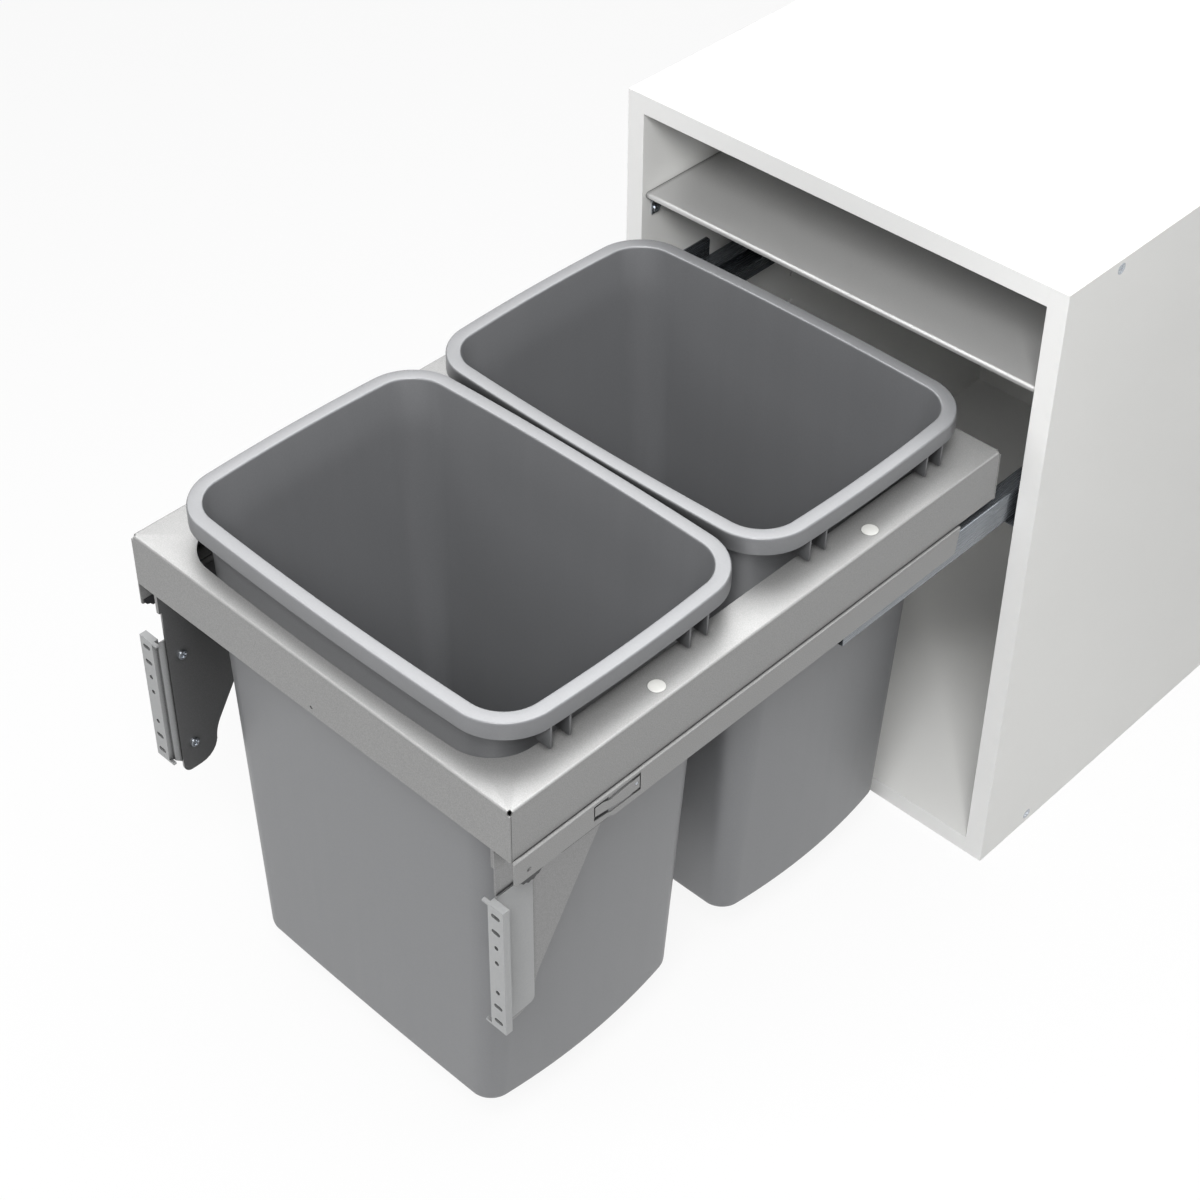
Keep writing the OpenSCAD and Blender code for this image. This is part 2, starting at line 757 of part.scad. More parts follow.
module drawer_rail() {
    end = drawer_rail_y + drawer_rail_l;
    rear_low_z = web_low_z - drawer_web_step;
    inner_z = drawer_top_z - drawer_inner_h;
    difference() {
        union() {
            yz_plate(drawer_rail_gap, rail_t, [[drawer_rail_y, drawer_top_z],
                [drawer_rail_y, web_low_z + rail_t], [drawer_rail_y + rail_t, web_low_z],
                [catch_step_y, web_low_z], [catch_step_y + drawer_web_step, rear_low_z],
                [end - 3 * rail_t, rear_low_z], [end, drawer_top_z]]);
            box([drawer_rail_gap, drawer_rail_y, drawer_top_z - rail_t],
                [drawer_inner_x, end, drawer_top_z]);
            box([drawer_inner_x - rail_t, drawer_rail_y, inner_z],
                [drawer_inner_x, end - 3 * rail_t, drawer_top_z]);
            // Tab behind the window, which carries the catch pin
            box([drawer_rail_gap + rail_t, catch_pin_y - catch_tab_l, window_bottom_z - rail_t],
                [drawer_rail_gap + rail_t + catch_back_t, window_end + catch_tab_l,
                    window_top_z + rail_t]);
        }
        yz_plate(drawer_rail_gap - cut, rail_t + cut, [[window_start, window_top_z],
            [window_start, window_bottom_z + window_front_rise],
            [catch_step_y - window_front_rise, window_bottom_z + window_front_rise / 2],
            [catch_step_y, window_bottom_z], [window_end, window_bottom_z],
            [window_end, window_top_z]]);
        bar_x([drawer_rail_gap - cut, drawer_rail_y + 2 * small_head_d,
            drawer_top_z - drawer_web_h * 2 / 3], small_shank_d, rail_t + 2 * cut);
        catch_pin(fixing_play);
        bracket_rivet_set(fixing_play);
        tray_rivet_set(fixing_play);
    }
}

module catch_pin(play) {
    bar_x([drawer_rail_gap - (play > 0 ? cut : 0), catch_pin_y, window_mid_z],
        catch_pin_d + 2 * play, rail_t + catch_back_t + (play > 0 ? 2 * cut : 0));
}

// Lever with a raised front end, and a lip turned in along its upper edge behind the dip
module release_catch() {
    lip_end_y = catch_pin_y - catch_tab_l - catch_gap;
    dip_z = catch_high_z - catch_dip;
    lip_end_z = dip_z + catch_dip * (lip_end_y - catch_step_y) / (catch_rear_y - catch_step_y);
    difference() {
        union() {
            yz_plate(drawer_rail_gap, rail_t, [[catch_front_y, catch_front_z - catch_front_h],
                [catch_step_y + catch_h, catch_low_z], [catch_rear_y, catch_low_z],
                [catch_rear_y, catch_high_z], [catch_step_y, dip_z],
                [(catch_front_y + catch_step_y) / 2, catch_front_z],
                [catch_front_y, catch_front_z]]);
            yz_plate(drawer_rail_gap, rail_t + catch_back_t, [[catch_step_y, dip_z - rail_t],
                [lip_end_y, lip_end_z - rail_t], [lip_end_y, lip_end_z], [catch_step_y, dip_z]]);
        }
        catch_pin(fixing_play);
    }
}

// Black lever behind the drawer rail's web: a toothed grip under the rail's front end, an arm
// along its lower edge, and a blade behind the front of the catch
module release_grip() {
    front = drawer_rail_y + grip_setback;
    grip_end = front + grip_l;
    arm_z = web_low_z - drawer_web_step;
    arm_start = grip_end + grip_l / 2;
    arm_end = catch_step_y - catch_gap;
    hidden_z = web_low_z + rail_t;
    steps = 2 * grip_teeth;
    belly = [for (i = [0 : steps]) [front + grip_l * i / steps,
        hidden_z - grip_drop * sin(180 * i / steps) - (i % 2) * grip_tooth]];
    yz_plate(drawer_rail_gap + rail_t + grip_play, catch_back_t - grip_play, concat(belly,
        [[arm_start, arm_z], [arm_end, arm_z], [arm_end, window_top_z],
            [window_start - rail_t, window_top_z],
            [window_start - rail_t - grip_arm_h, web_low_z + grip_arm_h],
            [front, web_low_z + grip_arm_h]]));
}

module drawer_rail_left() {
    color(silver_coat) on_left() drawer_rail();
}

module drawer_rail_right() {
    color(silver_coat) on_right() drawer_rail();
}

module release_catch_left() {
    color(silver_coat) on_left() release_catch();
}

module release_catch_right() {
    color(silver_coat) on_right() release_catch();
}

module release_grip_left() {
    color(dark_plastic) on_left() release_grip();
}

module release_grip_right() {
    color(dark_plastic) on_right() release_grip();
}

module catch_pins() {
    color(zinc_steel) {
        on_left() catch_pin(0);
        on_right() catch_pin(0);
    }
}

// Tray frame: one folded sheet with a single opening

// Rounded rectangle whose sides bow outwards: half sizes a and b, corner radius r, side bow
// in x and front bow in y, as a closed ring of points
function bowed_ring(a, b, r, bow_x, bow_y) = let (
    corners = [[a - r, b - r, 0], [r - a, b - r, 90], [r - a, r - b, 180], [a - r, r - b, 270]],
    raw = [for (k = [0 : 3]) let (c = corners[k], n = corners[(k + 1) % 4])
        each concat(
            [for (i = [0 : ring_steps]) let (t = c[2] + 90 * i / ring_steps)
                [c[0] + r * cos(t), c[1] + r * sin(t)]],
            [for (j = [1 : side_steps - 1]) let (u = j / side_steps, t = c[2] + 90)
                [(c[0] + r * cos(t)) * (1 - u) + (n[0] + r * cos(t)) * u,
                    (c[1] + r * sin(t)) * (1 - u) + (n[1] + r * sin(t)) * u]])]
    ) [for (p = raw) [p[0] + bow_x * (1 - pow(p[1] / b, 2)) * p[0] / a,
        p[1] + bow_y * (1 - pow(p[0] / a, 2)) * p[1] / b]];

opening_l = tray_l - tray_front_w - tray_rear_w;

module tray_outline() {
    difference() {
        translate([-tray_w / 2, 0]) square([tray_w, tray_l]);
        translate([0, tray_front_w + opening_l / 2])
            polygon(bowed_ring(opening_w / 2, opening_l / 2, opening_r, 0, opening_bow));
        for (x = [-tray_w / 2, tray_w / 2 - relief], y = [0, tray_l - relief])
            translate([x, y]) square(relief);
        for (x = plug_xs, y = [plug_front, plug_rear])
            translate([x, y]) circle(d = plug_stem_d + 2 * fixing_play);
    }
}

module tray_side() {
    low = tray_z - tray_h;
    box([tray_gap, tray_y + tray_t, low], [tray_gap + tray_t, tray_y + tray_l - tray_t, tray_z]);
    box([tray_gap, tray_y + 2 * tray_t, low],
        [tray_gap + tray_lip, tray_y + tray_l - 2 * tray_t, low + tray_t]);
}

module tray_frame() {
    low = tray_z - tray_h;
    half = tray_w / 2;
    start = front_y + tray_y;
    color(silver_coat) difference() {
        union() {
            translate([0, start, tray_z - tray_t]) linear_extrude(tray_t) tray_outline();
            box([-half, start, low], [half, start + tray_t, tray_z - relief / 2]);
            box([relief - half, start, low], [half - relief, start + tray_t, tray_z]);
            box([-half, start + tray_l - tray_t, low],
                [half, start + tray_l, tray_z - relief / 2]);
            box([relief - half, start + tray_l - tray_t, low],
                [half - relief, start + tray_l, tray_z]);
            difference() {
                union() {
                    on_left() tray_side();
                    on_right() tray_side();
                }
                for (x = [-half - cut, half - relief],
                    y = [start, start + tray_l - relief])
                    box([x, y, tray_z - relief / 2], [x + relief + cut, y + relief, tray_z + cut]);
            }
        }
        translate([0, start - cut, low + front_hole_rise]) rotate([-90, 0, 0])
            cylinder(d = front_hole_d, h = tray_t + 2 * cut);
        on_left() tray_rivet_set(fixing_play);
        on_right() tray_rivet_set(fixing_play);
    }
}

// Rivets through the tray's lips and the drawer rails' tops
module tray_rivet_set(play) {
    for (share = tray_rivet_shares) {
        y = drawer_rail_y + share * drawer_rail_l;
        bar_z([tray_rivet_x, y, drawer_top_z - rail_t - (play > 0 ? cut : 0)],
            rivet_d + 2 * play, rail_t + tray_t + (play > 0 ? 2 * cut : 0));
    }
}

module tray_rivet_heads() {
    for (share = tray_rivet_shares) {
        y = drawer_rail_y + share * drawer_rail_l;
        bar_z([tray_rivet_x, y, drawer_top_z + tray_t], rivet_head_d, rivet_head_h);
        bar_z([tray_rivet_x, y, drawer_top_z - rail_t - rivet_head_h], rivet_head_d, rivet_head_h);
    }
}

module tray_rivets() {
    color(zinc_steel) {
        on_left() {
            tray_rivet_set(0);
            tray_rivet_heads();
        }
        on_right() {
            tray_rivet_set(0);
            tray_rivet_heads();
        }
    }
}

module tray_plugs() {
    color(white_plastic)
        for (x = plug_xs, y = [plug_front, plug_rear])
            translate([x, front_y + tray_y + y, tray_z]) {
                cylinder(d = plug_d, h = plug_h);
                translate([0, 0, -plug_stem_l]) cylinder(d = plug_stem_d, h = plug_stem_l);
            }
}

// Front brackets and door adapters

// Arc of radius r that rounds the corner p between the points a and b
function rounded(a, p, b, r) = let (
    u = (a - p) / norm(a - p), v = (b - p) / norm(b - p), half = acos(u * v) / 2,
    centre = p + (u + v) / norm(u + v) * r / sin(half), start = p + u * r / tan(half) - centre,
    turn = (cross(u, v) < 0 ? 1 : -1) * (180 - 2 * half)
    ) [for (i = [0 : 6]) let (t = turn * i / 6)
        centre + [start[0] * cos(t) - start[1] * sin(t), start[0] * sin(t) + start[1] * cos(t)]];

module front_bracket() {
    upper = [plate_y, drawer_top_z];
    toe = [plate_y, plate_bottom_z];
    heel = [plate_y + plate_foot_l, plate_bottom_z];
    shoulder = heel + [0, plate_heel_h];
    rear = [plate_y + plate_top_l, drawer_top_z];
    difference() {
        union() {
            yz_plate(drawer_inner_x, plate_t, concat([upper],
                rounded(upper, toe, heel, plate_toe_r), rounded(toe, heel, shoulder, plate_heel_r),
                rounded(heel, shoulder, rear, plate_shoulder_r), [rear]));
            box([drawer_inner_x, tongue_y, drawer_top_z - drawer_inner_h],
                [drawer_inner_x + plate_t, tongue_y + plate_tongue_l, tongue_top_z]);
        }
        bracket_rivet_set(fixing_play);
        adapter_screw_set(fixing_play);
    }
}

module bracket_rivet_set(play) {
    for (share = bracket_rivet_shares)
        bar_x([drawer_inner_x - rail_t - (play > 0 ? cut : 0), plate_y + share * plate_top_l,
            bracket_rivet_z], rivet_d + 2 * play, rail_t + plate_t + (play > 0 ? 2 * cut : 0));
}

module bracket_rivet_heads() {
    for (share = bracket_rivet_shares) {
        y = plate_y + share * plate_top_l;
        bar_x([drawer_inner_x - rail_t - rivet_head_h, y, bracket_rivet_z],
            rivet_head_d, rivet_head_h);
        bar_x([drawer_inner_x + plate_t, y, bracket_rivet_z], rivet_head_d, rivet_head_h);
    }
}

adapter_screw_shares = [0.07, 0.81];
// Share of the leaf's thickness that the screws reach into
screw_share = 0.75;
adapter_screw_zs = [for (share = adapter_screw_shares) adapter_z + share * adapter_h];

module adapter_screw_set(play) {
    for (z = adapter_screw_zs)
        bar_x([drawer_inner_x - screw_share * leaf_t, plate_y + adapter_screw_y, z],
            small_shank_d + 2 * play, screw_share * leaf_t + plate_t + (play > 0 ? cut : 0));
}

module adapter_screw_heads() {
    for (z = adapter_screw_zs)
        bar_x([drawer_inner_x + plate_t, plate_y + adapter_screw_y, z],
            adapter_head_d, small_head_h);
}

module door_adapter() {
    top = adapter_z + adapter_h;
    back = adapter_y + adapter_wall_d;
    leaf_front = back - adapter_wall;
    leaf_rear = adapter_y + leaf_d;
    leaf_z = adapter_z - leaf_drop;
    difference() {
        union() {
            box([adapter_x, adapter_y, adapter_z],
                [adapter_inner_x, adapter_y + adapter_face_t, top]);
            for (x = [adapter_x, adapter_inner_x - adapter_wall])
                box([x, adapter_y, adapter_z], [x + adapter_wall, back, top]);
            box([adapter_inner_x - adapter_wall, leaf_front, adapter_z],
                [drawer_inner_x, back, top - leaf_inset]);
            for (z = [adapter_z, top - adapter_wall]) {
                box([adapter_x, adapter_y, z], [adapter_inner_x, back, z + adapter_wall]);
                box([adapter_inner_x - adapter_wall, adapter_y, z],
                    [drawer_inner_x + ear_w, adapter_y + adapter_face_t, z + adapter_wall]);
            }
            yz_plate(drawer_inner_x - leaf_t, leaf_t, concat([[leaf_front, top - leaf_inset],
                [leaf_front, adapter_z], [plate_y + plate_toe_r, leaf_z]],
                rounded([plate_y, leaf_z], [leaf_rear, leaf_z], [leaf_rear, top], leaf_r),
                [[leaf_rear, top - leaf_inset]]));
        }
        for (k = door_rounds)
            door_hole([adapter_mid_x, adapter_y, door_top_z - k * door_pitch]);
        for (k = door_slots)
            for (x = [-1, 1] * (door_slot_l - door_hole_d) / 2)
                door_hole([adapter_mid_x + x, adapter_y, door_top_z - k * door_pitch]);
        for (k = door_slots)
            box([adapter_mid_x - (door_slot_l - door_hole_d) / 2, adapter_y - cut,
                    door_top_z - k * door_pitch - door_hole_d / 2],
                [adapter_mid_x + (door_slot_l - door_hole_d) / 2, adapter_y + adapter_face_t + cut,
                    door_top_z - k * door_pitch + door_hole_d / 2]);
        adapter_screw_set(fixing_play);
    }
}

module door_hole(at) {
    translate([at[0], at[1] - cut, at[2]]) rotate([-90, 0, 0])
        cylinder(d = door_hole_d, h = adapter_face_t + 2 * cut);
}

module front_bracket_left() {
    color(silver_coat) on_left() front_bracket();
}

module front_bracket_right() {
    color(silver_coat) on_right() front_bracket();
}

module bracket_rivets() {
    color(zinc_steel) {
        on_left() {
            bracket_rivet_set(0);
            bracket_rivet_heads();
        }
        on_right() {
            bracket_rivet_set(0);
            bracket_rivet_heads();
        }
    }
}

module door_adapter_left() {
    color(pale_plastic) on_left() door_adapter();
}

module door_adapter_right() {
    color(pale_plastic) on_right() door_adapter();
}

module adapter_screws() {
    color(zinc_steel) {
        on_left() {
            adapter_screw_set(0);
            adapter_screw_heads();
        }
        on_right() {
            adapter_screw_set(0);
            adapter_screw_heads();
        }
    }
}

// Bins: a lofted shell whose rings climb the outer wall, turn over the rim and go down inside.
// A bin is drawn with its outward side towards -Y and the middle of its rim at the origin

function mix(a, b, t) = a * (1 - t) + b * t;

// Wall ring at a share of the height between the base (0) and the tray's level (1)
function wall_ring(t) = let (
    base_y = base_front + base_depth / 2 - rim_depth / 2,
    body_y = body_front + body_depth / 2 - rim_depth / 2)
    [mix(base_w / 2, wall_w / 2 - rim_bow, t), mix(base_depth / 2, body_depth / 2 - rim_bow, t),
        mix(base_r, body_r, t), mix(base_side_bow, rim_bow, t), mix(base_front_bow, rim_bow, t),
        mix(base_y, body_y, t)];

// Ring of the rim, inset from its outer edge
function rim_ring(inset) = [rim_w / 2 - rim_bow - inset, rim_depth / 2 - rim_bow - inset,
    max(rim_r - inset, inner_corner_min), rim_bow, rim_bow, 0];

// The same ring, narrowed all round
function narrow(ring, inset) = [ring[0] - inset, ring[1] - inset,
    max(ring[2] - inset, inner_corner_min), ring[3], ring[4], ring[5]];

function share_of(z) = (z - bin_z) / (tray_z - bin_z);

// Every level is [ring, z], from the base outside to the floor inside
function bin_levels() = let (
    round_z = base_edge_r,
    flat_z = rim_z - bin_wall,
    skirt_z = rim_z - skirt_h)
    [[narrow(wall_ring(0), base_edge_r), bin_z],
    [narrow(wall_ring(0), base_edge_r * (1 - sin(45))), bin_z + round_z * (1 - cos(45))],
    [wall_ring(share_of(bin_z + round_z)), bin_z + round_z],
    [wall_ring(1 / 3), mix(bin_z, tray_z, 1 / 3)],
    [wall_ring(2 / 3), mix(bin_z, tray_z, 2 / 3)],
    [wall_ring(1), tray_z],
    [rim_ring(rim_flat - bin_wall), flat_z],
    [rim_ring(bin_wall), flat_z],
    [rim_ring(bin_wall), skirt_z],
    [rim_ring(0), skirt_z],
    [rim_ring(0), rim_z - edge_round],
    [rim_ring(edge_round * (1 - cos(45))), rim_z - edge_round * (1 - sin(45))],
    [rim_ring(edge_round), rim_z],
    [rim_ring(rim_flat), rim_z],
    [rim_ring(rim_flat + bin_wall / 2), rim_z - bin_wall],
    [narrow(wall_ring(1), bin_wall), tray_z],
    [narrow(wall_ring(2 / 3), bin_wall), mix(bin_z, tray_z, 2 / 3)],
    [narrow(wall_ring(1 / 3), bin_wall), mix(bin_z, tray_z, 1 / 3)],
    [narrow(wall_ring(share_of(bin_z + bin_wall + round_z)), bin_wall),
        bin_z + bin_wall + round_z],
    [narrow(wall_ring(0), bin_wall + base_edge_r), bin_z + bin_wall]];

module bin_shell() {
    levels = bin_levels();
    rings = [for (l = levels) let (g = l[0])
        [for (p = bowed_ring(g[0], g[1], g[2], g[3], g[4])) [p[0], p[1] + g[5], l[1]]]];
    n = len(rings[0]);
    m = len(rings);
    points = concat([for (ring = rings) each ring],
        [[0, levels[0][0][5], levels[0][1]], [0, levels[m - 1][0][5], levels[m - 1][1]]]);
    sides = [for (k = [0 : m - 2], i = [0 : n - 1]) let (j = (i + 1) % n)
        each [[k * n + i, (k + 1) * n + i, (k + 1) * n + j], [k * n + i, (k + 1) * n + j, k * n + j]]];
    base = [for (i = [0 : n - 1]) [m * n, i, (i + 1) % n]];
    floor_faces = [for (i = [0 : n - 1])
        [m * n + 1, (m - 1) * n + (i + 1) % n, (m - 1) * n + i]];
    polyhedron(points, concat(sides, base, floor_faces));
}

// Outer face of a ring's bowed side at a place along it
function side_x(ring, y) = ring[0] + ring[3] * (1 - pow((y - ring[5]) / ring[1], 2));

// Ribs beside the wall, which stand on the tray and carry the bin. Each starts inside the wall,
// fills the rim under its top and ends level with the inside of the skirt
module bin_ribs() {
    mid_y = (wall_ring(0)[5] + wall_ring(1)[5]) / 2;
    top_z = rim_z - bin_wall + weld;
    for (side = [0, 1], pair = [-1, 1] * rib_spread / 2, one = [-1, 1] * rib_pair / 2) {
        y = mid_y + pair + one;
        tip_x = wall_w / 2 + rib_w;
        root_low = side_x(wall_ring(1), y) - bin_wall / 2;
        root_high = side_x(rim_ring(rim_flat), y) + bin_wall / 2;
        skirt_x = side_x(rim_ring(bin_wall), y) + weld;
        mirror([side, 0, 0]) translate([0, y + rib_t / 2, 0]) rotate([90, 0, 0])
            linear_extrude(rib_t) polygon([[root_low, tray_z], [tip_x, tray_z],
                [tip_x, rim_z - skirt_h], [skirt_x, rim_z - skirt_h], [skirt_x, top_z],
                [root_high, top_z]]);
    }
}

module bin() {
    bin_shell();
    bin_ribs();
}

module front_bin() {
    color(grey_bin) translate([0, front_y + bin_ys[0], 0]) bin();
}

module rear_bin() {
    color(grey_bin) translate([0, front_y + bin_ys[1], 0]) rotate([0, 0, 180]) bin();
}

side_panel_left();
side_panel_right();
top_panel();
bottom_panel();
back_panel();
carcass_screws();
cover_shelf();
shelf_brackets_left();
shelf_brackets_right();
shelf_screws();
cabinet_rail_left();
cabinet_rail_right();
rail_screws();
middle_rail_left();
middle_rail_right();
lower_cage_left();
lower_cage_right();
lower_rollers_left();
lower_rollers_right();
upper_cage_left();
upper_cage_right();
upper_rollers_left();
upper_rollers_right();
drawer_rail_left();
drawer_rail_right();
release_catch_left();
release_catch_right();
release_grip_left();
release_grip_right();
catch_pins();
tray_frame();
tray_rivets();
tray_plugs();
front_bracket_left();
front_bracket_right();
bracket_rivets();
door_adapter_left();
door_adapter_right();
adapter_screws();
front_bin();
rear_bin();
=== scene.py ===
"""Pull-out waste cabinet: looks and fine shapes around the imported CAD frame.

Metres, +X right, +Y into the cabinet, +Z up, the origin under the middle of the cabinet.
The drawer is fully pulled out at rest. Sizes of pieces are written in millimetres.
"""
import json
import math

import bmesh
import bpy
import numpy as np
from mathutils import Matrix, Vector


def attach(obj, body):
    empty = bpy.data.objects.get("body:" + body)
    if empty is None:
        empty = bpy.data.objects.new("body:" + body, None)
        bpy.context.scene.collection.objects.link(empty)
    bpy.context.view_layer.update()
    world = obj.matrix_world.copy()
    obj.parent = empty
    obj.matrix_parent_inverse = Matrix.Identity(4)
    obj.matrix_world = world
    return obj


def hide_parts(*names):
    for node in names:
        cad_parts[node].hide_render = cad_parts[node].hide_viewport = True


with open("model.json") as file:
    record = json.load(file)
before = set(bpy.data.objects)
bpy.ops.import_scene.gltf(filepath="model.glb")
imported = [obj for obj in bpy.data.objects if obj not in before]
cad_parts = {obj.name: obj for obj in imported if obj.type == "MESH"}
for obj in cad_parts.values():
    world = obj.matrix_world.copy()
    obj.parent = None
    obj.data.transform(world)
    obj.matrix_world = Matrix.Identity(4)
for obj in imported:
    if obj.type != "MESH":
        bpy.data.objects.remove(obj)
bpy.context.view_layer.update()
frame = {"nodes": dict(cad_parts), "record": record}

# Camera, room and lamps: the view of the photograph, from the front right and
# above, over a pale floor, under wide softboxes.
IMAGE_SIDE = 1200                # the picture's side in pixels
FOCAL_PIXELS = 2332.5            # focal length in those pixels
camera_data = bpy.data.cameras.new("view_camera")
camera_data.sensor_width = 36.0
camera_data.lens = FOCAL_PIXELS * camera_data.sensor_width / IMAGE_SIDE
camera_data.shift_x = 0.05
camera_data.shift_y = -0.10
camera_data.clip_end = 50.0
camera = bpy.data.objects.new("view_camera", camera_data)
bpy.context.collection.objects.link(camera)
stand = (0.96796, -1.58837, 1.60360)
turn, tilt, roll = (math.radians(a) for a in (45.40, 38.79, -0.73))
back = np.array([math.sin(turn) * math.cos(tilt), -math.cos(turn) * math.cos(tilt), math.sin(tilt)])
level = np.cross(-back, [0.0, 0.0, 1.0])
level /= np.linalg.norm(level)
upward = np.cross(level, -back)
right = math.cos(roll) * level + math.sin(roll) * upward
above = -math.sin(roll) * level + math.cos(roll) * upward
camera.matrix_world = Matrix((*zip(right, above, back, stand), (0.0, 0.0, 0.0, 1.0)))
bpy.context.scene.camera = camera
bpy.context.scene.view_settings.view_transform = "Standard"


def linear(code):
    """Linear colour with alpha 1 of an sRGB hex code."""
    srgb = [int(code[i:i + 2], 16) / 255 for i in (1, 3, 5)]
    return [c / 12.92 if c <= 0.04045 else ((c + 0.055) / 1.055) ** 2.4 for c in srgb] + [1.0]


def add(tree, kind, settings=None, inputs=None):
    """New node of a tree. settings are its own properties. inputs are socket values, or the
    output sockets to link to them."""
    made = tree.nodes.new(kind)
    for name, value in (settings or {}).items():
        setattr(made, name, value)
    for name, value in (inputs or {}).items():
        if isinstance(value, bpy.types.NodeSocket):
            tree.links.new(value, made.inputs[name])
        else:
            made.inputs[name].default_value = value
    return made


def new_material(name):
    """Empty node material and its tree."""
    material = bpy.data.materials.new(name)
    material.use_nodes = True
    material.node_tree.nodes.clear()
    return material, material.node_tree


def lamp(name, place, aim, width, height, watts):
    """White rectangular softbox at a place, facing a point."""
    data = bpy.data.lights.new(name, "AREA")
    data.shape = "RECTANGLE"
    data.size, data.size_y = width, height
    data.energy = watts
    holder = bpy.data.objects.new(name, data)
    bpy.context.collection.objects.link(holder)
    towards = (Vector(aim) - Vector(place)).to_track_quat("-Z", "Y").to_matrix().to_4x4()
    holder.matrix_world = Matrix.Translation(place) @ towards
    return holder


# The air is white to the camera and in reflections, and gives little light of its own
world = bpy.data.worlds.new("studio_air")
bpy.context.scene.world = world
world.use_nodes = True
air = world.node_tree
air.nodes.clear()
light_path = add(air, "ShaderNodeLightPath")
seen = add(air, "ShaderNodeMath", {"operation": "MAXIMUM"},
           {0: light_path.outputs["Is Camera Ray"], 1: light_path.outputs["Is Transmission Ray"]})
seen = add(air, "ShaderNodeMath", {"operation": "MAXIMUM"},
           {0: seen.outputs[0], 1: light_path.outputs["Is Glossy Ray"]})
strength = add(air, "ShaderNodeMapRange", None,
               {"Value": seen.outputs[0], "To Min": 0.095, "To Max": 1.0})
sky = add(air, "ShaderNodeBackground", None,
          {"Color": linear("#ffffff"), "Strength": strength.outputs[0]})
add(air, "ShaderNodeOutputWorld", None, {"Surface": sky.outputs[0]})

# Place, aim, width, height and watts of each softbox. The two cards only shine in gloss
lamp("overhead_softbox", (0.30, -0.20, 2.70), (0.0, -0.60, 0.48), 2.4, 2.2, 44.0)
gloss_card = lamp("gloss_softbox", (-0.85, 0.10, 2.45), (0.0, -0.62, 0.48), 2.6, 2.0, 96.0)
edge_card = lamp("edge_softbox", (2.40, 1.20, 1.90), (0.2, -0.55, 0.45), 1.2, 1.2, 26.0)
for card in (gloss_card, edge_card):
    card.visible_diffuse = False
lamp("key_softbox", (1.20, -2.05, 2.55), (0.0, -0.55, 0.35), 1.0, 1.0, 91.0)
lamp("left_softbox", (-0.90, -2.90, 1.90), (0.0, -0.40, 0.35), 1.2, 1.0, 21.0)

# Matt white paint, lit evenly from end to end: it meets the air without a line, and still takes
# a soft shadow under the cabinet
FLOOR_HALF, FLOOR_Z, EVEN_SHARE = 8.0, -0.0005, 0.90
floor_material, tree = new_material("painted_studio_floor")
light_path = add(tree, "ShaderNodeLightPath")
matt = add(tree, "ShaderNodeBsdfDiffuse", None, {"Color": linear("#dcdcdc")})
white = add(tree, "ShaderNodeEmission", None, {"Color": linear("#ffffff"), "Strength": 1.0})
share = add(tree, "ShaderNodeMath", {"operation": "MAXIMUM"},
            {0: light_path.outputs["Is Camera Ray"], 1: light_path.outputs["Is Glossy Ray"]})
share = add(tree, "ShaderNodeMath", {"operation": "MULTIPLY"},
            {0: share.outputs[0], 1: EVEN_SHARE})
blend = add(tree, "ShaderNodeMixShader", None,
            {0: share.outputs[0], 1: matt.outputs[0], 2: white.outputs[0]})
add(tree, "ShaderNodeOutputMaterial", None, {"Surface": blend.outputs[0]})
floor_mesh = bpy.data.meshes.new("floor")
floor_mesh.from_pydata([(x * FLOOR_HALF, y * FLOOR_HALF, FLOOR_Z)
                        for x, y in ((-1, -1), (1, -1), (1, 1), (-1, 1))], [], [(0, 1, 2, 3)])
floor_mesh.materials.append(floor_material)
floor = bpy.data.objects.new("floor", floor_mesh)
bpy.context.collection.objects.link(floor)

# Carcass: 18 mm chipboard faced with white melamine and edged with white tape,
# screwed through the sides, with a thin back let into grooves.
MM = 0.001
CLOSE = 0.01                     # points nearer than this are one point, in millimetres
FRONT_Y, TAPE = -300.0, 0.8      # front edges of the panels, and the thickness of their tape
BODY_OF = {node: body for body, nodes in frame["record"]["behaviour"]["bodies"].items()
           for node in nodes}


def stand_in(mesh, node, material):
    """Object for a mesh that takes a CAD node's place, body and material slot."""
    mesh.materials.clear()
    mesh.materials.append(material)
    piece = bpy.data.objects.new(node + "_shape", mesh)
    bpy.context.collection.objects.link(piece)
    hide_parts(node)
    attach(piece, BODY_OF[node])
    return piece


def edge_bevel(piece, width, segments, angle):
    """Rounds the edges of a piece that are sharper than an angle, with a live bevel."""
    bevel = piece.modifiers.new("edges", "BEVEL")
    bevel.width = width
    bevel.segments = segments
    bevel.limit_method = "ANGLE"
    bevel.angle_limit = math.radians(angle)
    bevel.harden_normals = True
    bevel.use_clamp_overlap = True


